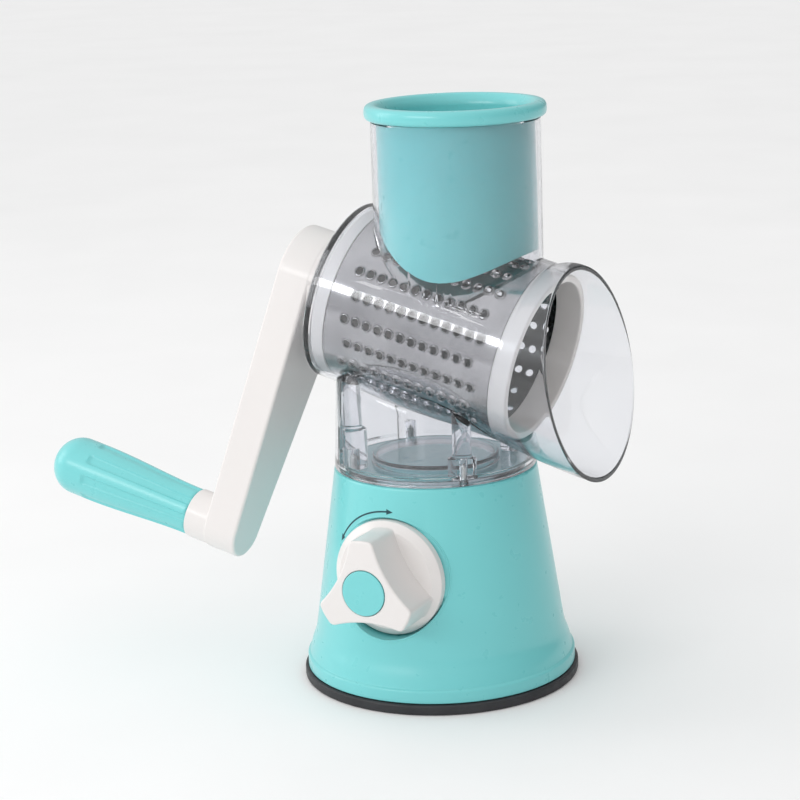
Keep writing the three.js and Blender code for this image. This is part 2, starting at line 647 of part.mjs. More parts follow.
// Closed rear end of the drum, with the hexagonal socket that the crank's key drives
function drumDriveRing() {
  const shoulder = SHEET_REAR - GAP;
  const spigotEnd = shoulder + SPIGOT_LENGTH;
  const socketFloor = 2;
  const body = toSolid(revolveAboutX([
    [0, REAR_RING_END], [RING_RADIUS - RING_EDGE, REAR_RING_END], [RING_RADIUS, REAR_RING_END + RING_EDGE],
    [RING_RADIUS, shoulder], [SPIGOT_RADIUS, shoulder], [SPIGOT_RADIUS, spigotEnd],
    [RING_BORE_RADIUS, spigotEnd], [RING_BORE_RADIUS, DRUM_WEB_FRONT], [DRUM_HUB_RADIUS, DRUM_WEB_FRONT],
    [DRUM_HUB_RADIUS, DRUM_HUB_END], [0, DRUM_HUB_END],
  ], LARGE_SIDES));
  const socket = axisRod(
    DRIVE_KEY_RADIUS + KEY_PLAY, REAR_RING_END - PAST, DRUM_HUB_END - socketFloor, HEX_SIDES);
  return toGeometry(body.subtract(toSolid(socket)));
}

// ---------------------------------------------------------------- crank and grip

// Shape X becomes Y, shape Y becomes Z and the extrusion runs along X
const acrossAxis = new THREE.Matrix4().makeBasis(
  new THREE.Vector3(0, 1, 0), new THREE.Vector3(0, 0, 1), new THREE.Vector3(1, 0, 0));

const atGrip = (geometry) => geometry.translate(0, GRIP_OFFSET_Y, GRIP_OFFSET_Z);

// A big round end and a small one, joined by their tangents
function armOutline() {
  const length = Math.hypot(GRIP_OFFSET_Y, GRIP_OFFSET_Z);
  const heading = Math.atan2(GRIP_OFFSET_Z, GRIP_OFFSET_Y);
  const tangent = Math.acos((HUB_RADIUS - ARM_END_RADIUS) / length);
  const shape = new THREE.Shape();
  shape.absarc(0, 0, HUB_RADIUS, heading + tangent, heading - tangent + 2 * Math.PI, false);
  shape.absarc(GRIP_OFFSET_Y, GRIP_OFFSET_Z, ARM_END_RADIUS, heading - tangent, heading + tangent, false);
  shape.closePath();
  return shape;
}

function crankArm() {
  const edge = 1.5;
  const arm = toSolid(new THREE.ExtrudeGeometry(armOutline(), {
    depth: ARM_INNER_FACE - ARM_OUTER_FACE - 2 * edge, curveSegments: 12, bevelEnabled: true,
    bevelSize: edge, bevelThickness: edge, bevelOffset: -edge, bevelSegments: 1,
  }).applyMatrix4(acrossAxis).translate(ARM_OUTER_FACE + edge, 0, 0));

  // The hub stands just inside the arm's outline and runs on to the barrel's rear wall
  const inset = 0.2;
  const hubFace = ARM_OUTER_FACE + inset;
  const hub = toSolid(revolveAboutX([
    [0, hubFace], [HUB_RADIUS - HUB_EDGE_ROUND, hubFace],
    [HUB_RADIUS - HUB_EDGE_ROUND * 0.3, hubFace + HUB_EDGE_ROUND * 0.3],
    [HUB_RADIUS - inset, hubFace + HUB_EDGE_ROUND], [HUB_RADIUS - inset, HUB_INNER_END], [0, HUB_INNER_END],
  ], MEDIUM_SIDES));
  const stub = toSolid(atGrip(axisRod(ARM_END_RADIUS - 0.4, STUB_END, ARM_OUTER_FACE + 2, MEDIUM_SIDES)));
  const outside = ARM_OUTER_FACE - PAST;
  const inside = HUB_INNER_END + PAST;
  const cuts = [
    atGrip(axisRod(GRIP_PIN_RADIUS + GAP, STUB_END - PAST, GRIP_PIN_SEAT + GAP, SMALL_SIDES)),
    axisRod(TAIL_KEY_RADIUS + KEY_PLAY, TAIL_KEY_END - GAP, inside, HEX_SIDES),
    axisRod(HUB_SCREW_HOLE_RADIUS, outside, inside, SCREW_SIDES),
    axisRod(5.6, outside, HUB_SCREW_SEAT, SMALL_SIDES),
    axisRod(HUB_CAP_RADIUS + GAP, outside, HUB_CAP_SEAT, MEDIUM_SIDES),
  ];
  return toGeometry(cuts.reduce((solid, cut) => solid.subtract(toSolid(cut)), arm.add(hub).add(stub)));
}

// Hexagonal tail in the crank, round journal in the housing's rear wall, hexagonal key in the drum
function driveShaft() {
  const tail = toSolid(axisRod(TAIL_KEY_RADIUS, TAIL_KEY_END, JOURNAL_REAR + 0.2, HEX_SIDES));
  const journal = toSolid(axisRod(JOURNAL_RADIUS, JOURNAL_REAR, REAR_RING_END - GAP, MEDIUM_SIDES));
  const key = toSolid(axisRod(DRIVE_KEY_RADIUS, REAR_RING_END - PAST, DRUM_HUB_END - 2.6, HEX_SIDES));
  const pilot = toSolid(axisRod(HUB_SCREW_HOLE_RADIUS, TAIL_KEY_END - PAST, TAIL_KEY_END + 10, SCREW_SIDES));
  return toGeometry(tail.add(journal).add(key).subtract(pilot));
}

function shaftScrew() {
  const head = { radius: 4.8, height: 2 };
  return revolveAboutX(screwProfile(head.radius, head.height, 2.2, 12), SCREW_SIDES)
    .translate(HUB_SCREW_SEAT - GAP, 0, 0);
}

function hubCap() {
  const edge = 0.5;
  const back = HUB_CAP_SEAT - GAP;
  const face = ARM_OUTER_FACE - 0.1;
  return revolveAboutX([
    [0, face], [HUB_CAP_RADIUS - edge, face], [HUB_CAP_RADIUS, face + edge], [HUB_CAP_RADIUS, back],
    [0, back],
  ], MEDIUM_SIDES);
}

// Snap pin fixed in the arm's end, its barbed tip inside the grip
function gripPin() {
  const barb = GRIP_PIN_RADIUS + 0.9;
  return atGrip(revolveAboutX([
    [0, GRIP_PIN_TIP], [GRIP_PIN_RADIUS - 1, GRIP_PIN_TIP], [barb, GRIP_PIN_TIP + 3],
    [barb, GRIP_PIN_TIP + 5], [GRIP_PIN_RADIUS, GRIP_PIN_TIP + 6], [GRIP_PIN_RADIUS, GRIP_PIN_SEAT],
    [0, GRIP_PIN_SEAT],
  ], SMALL_SIDES));
}

// Narrow neck at the arm, swelling to a round bulb, with a stepped bore for the pin
function handleGrip() {
  const bore = GRIP_PIN_RADIUS + 1.3;
  const lip = GRIP_PIN_RADIUS + 0.5;
  const boreEnd = GRIP_END + 13;
  return atGrip(revolveAboutX([
    [0, GRIP_END], [GRIP_BULB_RADIUS * 0.55, GRIP_END + 1.6], [GRIP_BULB_RADIUS * 0.87, GRIP_END + 6],
    [GRIP_BULB_RADIUS, GRIP_END + 13], [GRIP_BULB_RADIUS - 0.3, GRIP_END + 26],
    [GRIP_NECK_RADIUS, GRIP_START - 0.5], [GRIP_NECK_RADIUS - 0.5, GRIP_START],
    [lip, GRIP_START], [lip, GRIP_START - 2], [bore, GRIP_START - 3], [bore, boreEnd], [0, boreEnd - 1],
  ], MEDIUM_SIDES));
}

// ---------------------------------------------------------------- food pusher

// Deep cup with a rolled rim, its floor a saddle that follows the drum
function foodPusher() {
  const bottom = 170;
  const mouthChamfer = 2.5;
  const rimEdge = 1.4;
  const saddle = (radius) => toSolid(axisRod(radius, -120, 120, LARGE_SIDES).applyMatrix4(drumLineMatrix)
    .translate(-CHUTE_X, 0, 0));
  const body = toSolid(revolveAboutZ([
    [0, bottom], [PUSHER_RADIUS, bottom], [PUSHER_RADIUS, PUSHER_RIM_BOTTOM],
    [PUSHER_RIM_RADIUS - rimEdge, PUSHER_RIM_BOTTOM], [PUSHER_RIM_RADIUS, PUSHER_RIM_BOTTOM + rimEdge],
    [PUSHER_RIM_RADIUS, PUSHER_TOP - rimEdge], [PUSHER_RIM_RADIUS - rimEdge, PUSHER_TOP],
    [PUSHER_BORE_RADIUS + mouthChamfer, PUSHER_TOP], [0, PUSHER_TOP],
  ], LARGE_SIDES)).subtract(saddle(SADDLE_RADIUS));
  const hollow = toSolid(revolveAboutZ([
    [0, bottom], [PUSHER_BORE_RADIUS, bottom], [PUSHER_BORE_RADIUS, PUSHER_TOP - mouthChamfer],
    [PUSHER_BORE_RADIUS + mouthChamfer + PAST, PUSHER_TOP + PAST], [0, PUSHER_TOP + PAST],
  ], LARGE_SIDES)).subtract(saddle(SADDLE_RADIUS + SADDLE_THICKNESS));
  return toGeometry(body.subtract(hollow)).translate(CHUTE_X, 0, 0);
}

// ---------------------------------------------------------------- assembly

addPiece(grater, 'suction_pad', suctionPad(), rubber());
addPiece(grater, 'base_shell', baseShell(), turquoise());
addPiece(grater, 'spring_plate', springPlate(), greyPlastic());
PLATE_SCREW_PLACES.forEach(([x, y], index) => {
  addPiece(grater, `plate_screw_${index + 1}`, plateScrew(x, y), steel());
});
addPiece(grater, 'suction_stem', suctionStem(), greyPlastic());
addPiece(grater, 'lift_spring', liftSpring(), steel());
addPiece(grater, 'cam_shaft', camShaft(), greyPlastic());
addPiece(grater, 'shaft_clip', shaftClip(), steel());
addPiece(grater, 'lock_knob', lockKnob(), white());
addPiece(grater, 'knob_cap', knobCap(), turquoise());
addPiece(grater, 'knob_screw', knobScrew(), steel());
addPiece(grater, 'seat_plate', seatPlate(), clear());
addPiece(grater, 'clear_housing', clearHousing(), clear());
HOUSING_SCREW_PLACES.forEach(([x, y], index) => {
  addPiece(grater, `housing_screw_${index + 1}`, housingScrew(x, y), steel());
});
addPiece(drumLine, 'drum_shell', drumShell(), steel());
addPiece(drumLine, 'drum_front_ring', drumFrontRing(), white());
addPiece(drumLine, 'drum_drive_ring', drumDriveRing(), white());
addPiece(drumLine, 'crank_arm', crankArm(), white());
addPiece(drumLine, 'drive_shaft', driveShaft(), white());
addPiece(drumLine, 'shaft_screw', shaftScrew(), steel());
addPiece(drumLine, 'hub_cap', hubCap(), white());
addPiece(drumLine, 'grip_pin', gripPin(), steel());
addPiece(drumLine, 'handle_grip', handleGrip(), turquoise());
addPiece(grater, 'food_pusher', foodPusher(), turquoise());

export default grater;
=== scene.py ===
# Rotary cheese grater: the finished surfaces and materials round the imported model.
# Shapes are drawn in millimetres, +Z up, and scaled to metres when their meshes are made.
import json
import math

import bmesh
import bpy
from mathutils import Matrix, Vector


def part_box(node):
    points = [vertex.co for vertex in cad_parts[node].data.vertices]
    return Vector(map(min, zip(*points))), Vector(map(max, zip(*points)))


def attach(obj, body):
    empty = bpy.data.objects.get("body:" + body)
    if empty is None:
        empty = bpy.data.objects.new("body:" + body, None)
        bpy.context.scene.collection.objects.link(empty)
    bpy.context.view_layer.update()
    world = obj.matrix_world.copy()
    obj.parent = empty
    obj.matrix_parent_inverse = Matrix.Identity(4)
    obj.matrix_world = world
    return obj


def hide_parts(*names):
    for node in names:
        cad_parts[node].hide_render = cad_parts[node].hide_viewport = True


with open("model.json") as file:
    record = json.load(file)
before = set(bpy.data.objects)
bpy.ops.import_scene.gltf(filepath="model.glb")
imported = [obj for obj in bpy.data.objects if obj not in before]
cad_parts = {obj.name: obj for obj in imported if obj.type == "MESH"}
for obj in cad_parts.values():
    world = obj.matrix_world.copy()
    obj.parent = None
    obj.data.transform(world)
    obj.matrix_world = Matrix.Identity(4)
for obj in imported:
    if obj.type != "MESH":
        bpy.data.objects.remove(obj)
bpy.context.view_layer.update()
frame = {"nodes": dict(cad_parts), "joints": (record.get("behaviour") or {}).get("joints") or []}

MM = 0.001


def mm_box(node):
    """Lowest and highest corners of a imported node, in millimetres."""
    low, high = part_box(node)
    return low / MM, high / MM


# Drum axis, from the crank's joint
crank_joint = next(joint for joint in frame["joints"] if joint["name"] == "crank_turn")
AXIS_DIRECTION = Vector(crank_joint["axis"]).normalized()
AXIS_POINT = Vector(crank_joint["pos_m"]) / MM
AXIS_HEIGHT = AXIS_POINT.z - AXIS_POINT.x * AXIS_DIRECTION.z / AXIS_DIRECTION.x
AXIS_TILT = math.atan2(-AXIS_DIRECTION.z, AXIS_DIRECTION.x)
AXIS = Matrix.Translation((0, 0, AXIS_HEIGHT)) @ Matrix.Rotation(AXIS_TILT, 4, "Y")
ALONG_AXIS = AXIS @ Matrix.Rotation(math.radians(90), 4, "Y")
UPRIGHT = Matrix.Identity(4)


def axis_box(node):
    """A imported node's box along and across the drum's axis, in millimetres."""
    to_axis = AXIS.inverted()
    points = [to_axis @ (vertex.co / MM) for vertex in frame["nodes"][node].data.vertices]
    low = Vector([min(point[i] for point in points) for i in range(3)])
    high = Vector([max(point[i] for point in points) for i in range(3)])
    return low, high


# Suction base
pad_high = mm_box("suction_pad")[1]
PAD_RADIUS = pad_high.x
PAD_TOP = pad_high.z
PAD_RIM_INSIDE = 56
PAD_THICKNESS = 3.2
base_low, base_high = mm_box("base_shell")
FLANGE_RADIUS = base_high.x
BASE_BOTTOM = base_low.z
BASE_TOP = base_high.z
BASE_TOP_RADIUS = 47.3
BASE_WALL = 3
DECK_UNDERSIDE = BASE_TOP - 3
FLANGE_TOP = 10.8
STEP_TOP = 16.5
CONE_FOOT = (58, 28)
PILLAR_PLACES = [(x, y) for x in (-41, 41) for y in (-12, 12)]
PILLAR_RADIUS = 4
PILLAR_PILOT_DEPTH = 16
PILOT_RADIUS = 1.9
SCREW_HOLE_RADIUS = 2.1
BEARING_TUBE_RADIUS = 9
BEARING_TUBE_START = 30
BEARING_BORE_RADIUS = 5.3
CUT_PAST = 1

# Lock knob
knob_low, knob_high = mm_box("lock_knob")
KNOB_HEIGHT = (knob_low.z + knob_high.z) / 2
KNOB_RADIUS = (knob_high.x - knob_low.x) / 2
KNOB_BACK = -knob_high.y
KNOB_FRONT = -knob_low.y
KNOB_RIM = 51.2
SKIRT_FACE = 54.2
SKIRT_FACE_RADIUS = 23.3
SEAT_RADIUS = KNOB_RADIUS + 0.9
SEAT_FLOOR = KNOB_BACK - 0.3
SEAT_WALL = 2.4
SEAT_FRONT = 80
KNOB_SOCKET_RADIUS = 5.4
KNOB_SOCKET_END = 68.3
KNOB_SCREW_SEAT = 71.5
cap_low, cap_high = mm_box("knob_cap")
CAP_RADIUS = (cap_high.x - cap_low.x) / 2
CAP_BACK = -cap_high.y
CAP_FRONT = -cap_low.y
LOBES = 3
LOBE_RADIUS = 24.2
LOBE_HALF = math.radians(14)
LOBE_CORNER = math.radians(4)
FIRST_LOBE = math.radians(92)
VALLEY_CONTROL = 11.2
OUT_OF_FRONT = Matrix.Translation((0, 0, KNOB_HEIGHT)) @ Matrix.Rotation(math.radians(90), 4, "X")

# Clear housing
BARREL_RADIUS = 42.4
WALL = 2.2
BARREL_REAR = -44.2
REAR_WALL_FACE = -41.6
HUB_HOLE_RADIUS = 14.3
FLARE_START = 52
MOUTH_CENTRE = 81.1
MOUTH_RADIUS = 48.8
MOUTH_TILT = math.radians(-23.4)
pusher_low, pusher_high = mm_box("food_pusher")
CHUTE_X = (pusher_low.x + pusher_high.x) / 2
CHUTE_RADIUS = 38.4
CHUTE_BORE_RADIUS = 36.3
CHUTE_TOP = mm_box("clear_housing")[1].z
seat_low, seat_high = mm_box("seat_plate")
PEDESTAL_BOTTOM = seat_low.z
PEDESTAL_FOOT_RADIUS = 47.2
PEDESTAL_NECK = (44.6, 150)
FOOT_RIM_RADIUS = 42.8
SHOULDER_DEPTH = 25
SEAT_RING_RADIUS = 29.4
POST_PLACES = [(-27.5, -28.5), (27.5, -28.5), (27.5, 28.5), (-27.5, 28.5)]
POST_FOOT_RADIUS = 6.5
POST_NECK_RADIUS = 4.4
POST_TIP_RADIUS = 4.1
POST_TIP = 154
POST_START = 2.3
POST_STEPS = {-1: 122, 1: 113}
POST_PILOT_DEPTH = 11.3

# Drum
sheet_low, sheet_high = axis_box("drum_shell")
DRUM_RADIUS = sheet_high.z
SHEET_THICKNESS = 0.45
HOLE_ROWS = 22
HOLES_PER_ROW = 12
HOLE_PITCH = 5.73
FIRST_HOLE = -24.4
FIRST_ROW_ANGLE = math.radians(-90)
CELL_STEPS = 4
HALF_CELL = CELL_STEPS // 2
PLAIN_STEPS = 4
SHEET_SIDES = HOLE_ROWS * CELL_STEPS
INSIDE = -SHEET_THICKNESS
TOOTH = [
    (2.78, 0.0), (2.54, 0.2), (2.32, 0.78), (2.2, 1.0),
    (2.04, 1.04), (1.92, 0.9), (1.84, 0.3), (1.84, INSIDE),
]
ring_high = axis_box("drum_front_ring")[1]
drive_low, drive_high = axis_box("drum_drive_ring")
RING_RADIUS = ring_high.z
RING_BORE_RADIUS = 35.8
RING_GAP = 0.3
FRONT_SPIGOT_LENGTH = 4
DRIVE_SPIGOT_LENGTH = 6
DRIVE_WEB = 3.4
DRIVE_HUB_RADIUS = 13.4
DRIVE_SOCKET_RADIUS = 9.8
DRIVE_SOCKET_FLOOR = 2

# Crank and grip
arm_low, arm_high = axis_box("crank_arm")
ARM_INNER_FACE = -53.8
ARM_OUTER_FACE = -71.4
HUB_RADIUS = arm_high.z
HUB_INNER_END = arm_high.x
ARM_END_RADIUS = 12.3
ARM_EDGE = 1.5
ARM_SLACK = 4
HUB_CAP_RADIUS = 8.7
HUB_CAP_BACK = -69.7
HUB_CAP_PROUD = 0.1
CAP_SEAT_RADIUS = 9
CAP_SEAT_FLOOR = -69.4
SCREW_SEAT_RADIUS = 5.6
SCREW_SEAT_FLOOR = -67
SCREW_BORE_RADIUS = 2.5
TAIL_SOCKET_RADIUS = 8.4
TAIL_SOCKET_FLOOR = -62.3
PIN_HOLE_FLOOR = -63.7
grip_low, grip_high = axis_box("handle_grip")
GRIP_Y = (grip_low.y + grip_high.y) / 2
GRIP_Z = (grip_low.z + grip_high.z) / 2
GRIP_START = grip_high.x
GRIP_END = grip_low.x
GRIP_NECK_RADIUS = 11.4
GRIP_BULB_RADIUS = 14
GRIP_ROUND_END = 13
GRIP_FACE_EDGE = 0.9
GRIP_PIN_RADIUS = 3.7
FLUTES = 8
FLUTE_DEPTH = 0.9
FLUTE_END_SHARE = 0.71
FLUTE_RAMP = 1.1
ALONG_GRIP = AXIS @ Matrix.Translation((0, GRIP_Y, GRIP_Z)) @ Matrix.Rotation(math.radians(90), 4, "Y")

# Food pusher
PUSHER_RADIUS = 35.7
PUSHER_BORE_RADIUS = 33.3
PUSHER_RIM_RADIUS = (pusher_high.x - pusher_low.x) / 2
PUSHER_TOP = pusher_high.z
PUSHER_RIM_BOTTOM = CHUTE_TOP + 0.3
SADDLE_RADIUS = 45
SADDLE_THICKNESS = 2.4

FINE_SIDES = 160
SMALL_SIDES = 48
HEX_SIDES = 6
ARC_STEPS = 5


# ------------------------------------------------------------------ mesh tools

def make_mesh(name, points, faces, outward=True):
    """An object from points in millimetres, with doubled points joined."""
    grid = bmesh.new()
    made = [grid.verts.new(Vector(point) * MM) for point in points]
    for face in faces:
        grid.faces.new([made[index] for index in face])
    bmesh.ops.remove_doubles(grid, verts=grid.verts, dist=1e-7)
    if outward:
        bmesh.ops.recalc_face_normals(grid, faces=grid.faces)
    mesh = bpy.data.meshes.new(name)
    grid.to_mesh(mesh)
    grid.free()
    piece = bpy.data.objects.new(name, mesh)
    bpy.context.scene.collection.objects.link(piece)
    return piece


def loft(name, rings, hollow=False):
    """Joins rings of points with quads. A hollow body's last ring joins its first; others are capped."""
    sides = len(rings[0])
    points = [point for ring in rings for point in ring]
    faces = []
    for row in range(len(rings) if hollow else len(rings) - 1):
        here = row * sides
        there = ((row + 1) % len(rings)) * sides
        for side in range(sides):
            after = (side + 1) % sides
            faces.append((here + side, there + side, there + after, here + after))
    if not hollow:
        for row in (0, len(rings) - 1):
            if (rings[row][0] - rings[row][1]).length > 1e-4:
                faces.append([row * sides + side for side in range(sides)])
    return make_mesh(name, points, faces)


def rounded(corners, hollow=False):
    """Profile points from (radius, height, round) corners; a round corner becomes a short curve."""
    points = []
    count = len(corners)
    for index, (radius, height, size) in enumerate(corners):
        here = Vector((radius, height))
        at_end = index in (0, count - 1) and not hollow
        if size == 0 or at_end:
            points.append(here)
            continue
        before = Vector(corners[index - 1][:2])
        after = Vector(corners[(index + 1) % count][:2])
        start = here + (before - here).normalized() * size
        end = here + (after - here).normalized() * size
        for step in range(ARC_STEPS + 1):
            share = step / ARC_STEPS
            rest = 1 - share
            points.append(rest * rest * start + 2 * share * rest * here + share * share * end)
    return points


def turns(sides):
    return [2 * math.pi * side / sides for side in range(sides)]


def around(radius, angle, height):
    """A point at a radius and an angle about Z."""
    return Vector((radius * math.cos(angle), radius * math.sin(angle), height))


def lathe(name, corners, place, sides=FINE_SIDES, hollow=False):
    """A body turned about the place's own Z axis."""
    rings = [
        [place @ around(radius, angle, height) for angle in turns(sides)]
        for radius, height in rounded(corners, hollow)
    ]
    return loft(name, rings, hollow)


def rod(name, radius, start, end, place, sides=SMALL_SIDES, edge=0):
    return lathe(name, [(0, start, 0), (radius, start, edge), (radius, end, edge), (0, end, 0)], place, sides)


def at(x, y):
    return Matrix.Translation((x, y, 0))


def apply_modifiers(piece):
    view = bpy.context.evaluated_depsgraph_get()
    mesh = bpy.data.meshes.new_from_object(piece.evaluated_get(view))
    piece.modifiers.clear()
    piece.data = mesh


def combine(piece, other, operation):
    """Joins, cuts or intersects a piece with another, which is used up."""
    modifier = piece.modifiers.new("join", "BOOLEAN")
    modifier.operation = operation
    modifier.solver = "MANIFOLD"
    modifier.object = other
    apply_modifiers(piece)
    bpy.data.objects.remove(other)


def soften(piece, limit=math.radians(32)):
    """Smooth shading with sharp edges kept and flat faces left flat."""
    grid = bmesh.new()
    grid.from_mesh(piece.data)
    for face in grid.faces:
        face.smooth = True
    for edge in grid.edges:
        edge.smooth = edge.calc_face_angle(0.0) < limit
    grid.to_mesh(piece.data)
    grid.free()
    modifier = piece.modifiers.new("flat faces", "WEIGHTED_NORMAL")
    modifier.keep_sharp = True


def finish_piece(piece, material, slot, body, *nodes):
    """Gives a piece its finish and its body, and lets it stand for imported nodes."""
    soften(piece)
    piece.data.materials.clear()
    piece.data.materials.append(material)
    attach(piece, body)
    if nodes:
        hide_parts(*nodes)
    return piece


# ------------------------------------------------------------------ material tools

def linear(red, green, blue):
    """A screen colour, 0 to 255 a channel, as scene-linear RGBA."""
    def channel(value):
        share = value / 255
        return share / 12.92 if share <= 0.04045 else ((share + 0.055) / 1.055) ** 2.4
    return (channel(red), channel(green), channel(blue), 1)


class Recipe:
    """A material under construction, with its shader and its object coordinates."""

    def __init__(self, name):
        self.material = bpy.data.materials.new(name)
        self.material.use_nodes = True
        self.tree = self.material.node_tree
        self.shader = self.tree.nodes["Principled BSDF"]
        self.output = self.tree.nodes["Material Output"]
        self.place = self.tree.nodes.new("ShaderNodeTexCoord").outputs["Object"]

    def link(self, source, target):
        self.tree.links.new(source, target)

    def noise(self, scale, detail=3, stretch=(1, 1, 1)):
        """Cloudy noise; scale is in bumps to a metre, stretch multiplies it along X, Y and Z."""
        mapping = self.tree.nodes.new("ShaderNodeMapping")
        mapping.inputs["Scale"].default_value = stretch
        texture = self.tree.nodes.new("ShaderNodeTexNoise")
        texture.inputs["Scale"].default_value = scale
        texture.inputs["Detail"].default_value = detail
        self.link(self.place, mapping.inputs["Vector"])
        self.link(mapping.outputs["Vector"], texture.inputs["Vector"])
        return texture.outputs["Fac"]

    def ranged(self, value, low, high):
        """Spreads the middle of a noise's range between two values."""
        node = self.tree.nodes.new("ShaderNodeMapRange")
        node.inputs["From Min"].default_value = 0.3
        node.inputs["From Max"].default_value = 0.7
        node.inputs["To Min"].default_value = low
        node.inputs["To Max"].default_value = high
        self.link(value, node.inputs["Value"])
        return node.outputs["Result"]

    def tint(self, value, first, second):
        node = self.tree.nodes.new("ShaderNodeMix")
        node.data_type = "RGBA"
        node.inputs[6].default_value = first
        node.inputs[7].default_value = second
        self.link(self.ranged(value, 0, 1), node.inputs[0])
        self.link(node.outputs[2], self.shader.inputs["Base Color"])

    def roughen(self, value, low, high):
        self.link(self.ranged(value, low, high), self.shader.inputs["Roughness"])

    def bump(self, value, strength, depth_mm):
        node = self.tree.nodes.new("ShaderNodeBump")
        node.inputs["Strength"].default_value = strength
        node.inputs["Distance"].default_value = depth_mm * MM
        self.link(value, node.inputs["Height"])
        self.link(node.outputs["Normal"], self.shader.inputs["Normal"])

    def set(self, **values):
        for name, value in values.items():
            self.shader.inputs[name.replace("_", " ")].default_value = value
        return self.material


def moulded_plastic(name, light, dark, gloss=(0.27, 0.31)):
    """Injection-moulded plastic: faint flow clouds, fine texture, slightly uneven gloss."""
    recipe = Recipe(name)
    recipe.tint(recipe.noise(9, 2), light, dark)
    recipe.roughen(recipe.noise(160, 3), *gloss)
    recipe.bump(recipe.noise(260, 1), 0.03, 0.02)
    return recipe.set(Coat_Weight=0.25, Coat_Roughness=0.12)


def clear_plastic():
    """Clear styrene: hardly any haze, with long waves from the mould; it lets lamplight through."""
    recipe = Recipe("clear_plastic")
    recipe.tint(recipe.noise(20, 2), linear(243, 244, 247), linear(239, 240, 244))
    recipe.roughen(recipe.noise(140, 4), 0.015, 0.04)
    recipe.bump(recipe.noise(38, 2), 0.25, 0.25)
    recipe.set(IOR=1.46, Transmission_Weight=0.985)
    path = recipe.tree.nodes.new("ShaderNodeLightPath")
    through = recipe.tree.nodes.new("ShaderNodeBsdfTransparent")
    through.inputs["Color"].default_value = linear(236, 242, 244)
    mix = recipe.tree.nodes.new("ShaderNodeMixShader")
    recipe.link(path.outputs["Is Shadow Ray"], mix.inputs["Fac"])
    recipe.link(recipe.shader.outputs["BSDF"], mix.inputs[1])
    recipe.link(through.outputs["BSDF"], mix.inputs[2])
    recipe.link(mix.outputs["Shader"], recipe.output.inputs["Surface"])
    return recipe.material


def bright_metal(name, light, dark, gloss, grain):
    """Bare metal with rolling or plating grain; grain stretches it along X, Y and Z."""
    recipe = Recipe(name)
    recipe.tint(recipe.noise(60, 4), light, dark)
    recipe.roughen(recipe.noise(500, 5, grain), *gloss)
    recipe.bump(recipe.noise(1400, 3, grain), 0.08, 0.03)
    return recipe.set(Metallic=1.0, Anisotropic=0.3)


def drum_steel():
    """Polished sheet with painted shade: its inside is painted a darker grey for the dim inside of the tube,
    told by the distance from the axis.
    """
    recipe = Recipe("stainless_sheet")
    grain = (1, 6, 6)
    to_axis = recipe.tree.nodes.new("ShaderNodeMapping")
    to_axis.vector_type = "TEXTURE"
    to_axis.inputs["Location"].default_value = (0, 0, AXIS_HEIGHT * MM)
    to_axis.inputs["Rotation"].default_value = (0, AXIS_TILT, 0)
    recipe.link(recipe.place, to_axis.inputs["Vector"])
    across = recipe.tree.nodes.new("ShaderNodeVectorMath")
    across.operation = "MULTIPLY"
    across.inputs[1].default_value = (0, 1, 1)
    recipe.link(to_axis.outputs["Vector"], across.inputs[0])
    distance = recipe.tree.nodes.new("ShaderNodeVectorMath")
    distance.operation = "LENGTH"
    recipe.link(across.outputs["Vector"], distance.inputs[0])
    # Mask for the painted shade: 0 on the sheet's inside, 1 on its outside.
    outside = recipe.tree.nodes.new("ShaderNodeMapRange")
    outside.inputs["From Min"].default_value = (DRUM_RADIUS - 0.3) * MM
    outside.inputs["From Max"].default_value = (DRUM_RADIUS - 0.1) * MM
    recipe.link(distance.outputs["Value"], outside.inputs["Value"])
    recipe.tint(recipe.noise(60, 4), linear(186, 185, 185), linear(166, 165, 166))
    polished = recipe.shader.inputs["Base Color"].links[0].from_socket
    # Painted shade: the node called finish gives the sheet's inside a dark grey in place of the polished
    # colour. The colour stands in for the shade inside the tube.
    finish = recipe.tree.nodes.new("ShaderNodeMix")
    finish.data_type = "RGBA"
    finish.inputs[6].default_value = linear(96, 98, 98)
    recipe.link(outside.outputs["Result"], finish.inputs[0])
    recipe.link(polished, finish.inputs[7])
    recipe.link(finish.outputs[2], recipe.shader.inputs["Base Color"])
    recipe.roughen(recipe.noise(500, 5, grain), 0.08, 0.15)
    recipe.bump(recipe.noise(1400, 3, grain), 0.05, 0.02)
    return recipe.set(Metallic=1.0)


def black_rubber():
    recipe = Recipe("black_rubber")
    recipe.tint(recipe.noise(50, 5), linear(38, 38, 41), linear(52, 52, 55))
    recipe.roughen(recipe.noise(300, 5), 0.42, 0.62)
    recipe.bump(recipe.noise(1200, 4), 0.3, 0.06)
    return recipe.set(Specular_IOR_Level=0.4)


def printed_ink():
    recipe = Recipe("printed_ink")
    recipe.tint(recipe.noise(400, 4), linear(8, 58, 68), linear(14, 68, 78))
    recipe.roughen(recipe.noise(700, 3), 0.4, 0.6)
    return recipe.material


def pale_floor():
    recipe = Recipe("pale_floor")
    recipe.tint(recipe.noise(6, 4), linear(250, 250, 250), linear(247, 247, 247))
    recipe.roughen(recipe.noise(20, 4), 0.55, 0.7)
    return recipe.set(Specular_IOR_Level=0.2)


TURQUOISE = moulded_plastic("turquoise_plastic", linear(119, 208, 209), linear(116, 205, 207))
WHITE = moulded_plastic("white_plastic", linear(230, 226, 224), linear(227, 223, 221), (0.3, 0.34))
GREY = moulded_plastic("grey_plastic", linear(186, 189, 190), linear(172, 175, 177), (0.4, 0.55))
CLEAR = clear_plastic()
STEEL = drum_steel()
ZINC = bright_metal("zinc_steel", linear(214, 214, 208), linear(190, 192, 190), (0.22, 0.4), (1, 1, 1))
RUBBER = black_rubber()
INK = printed_ink()


# ------------------------------------------------------------------ suction base

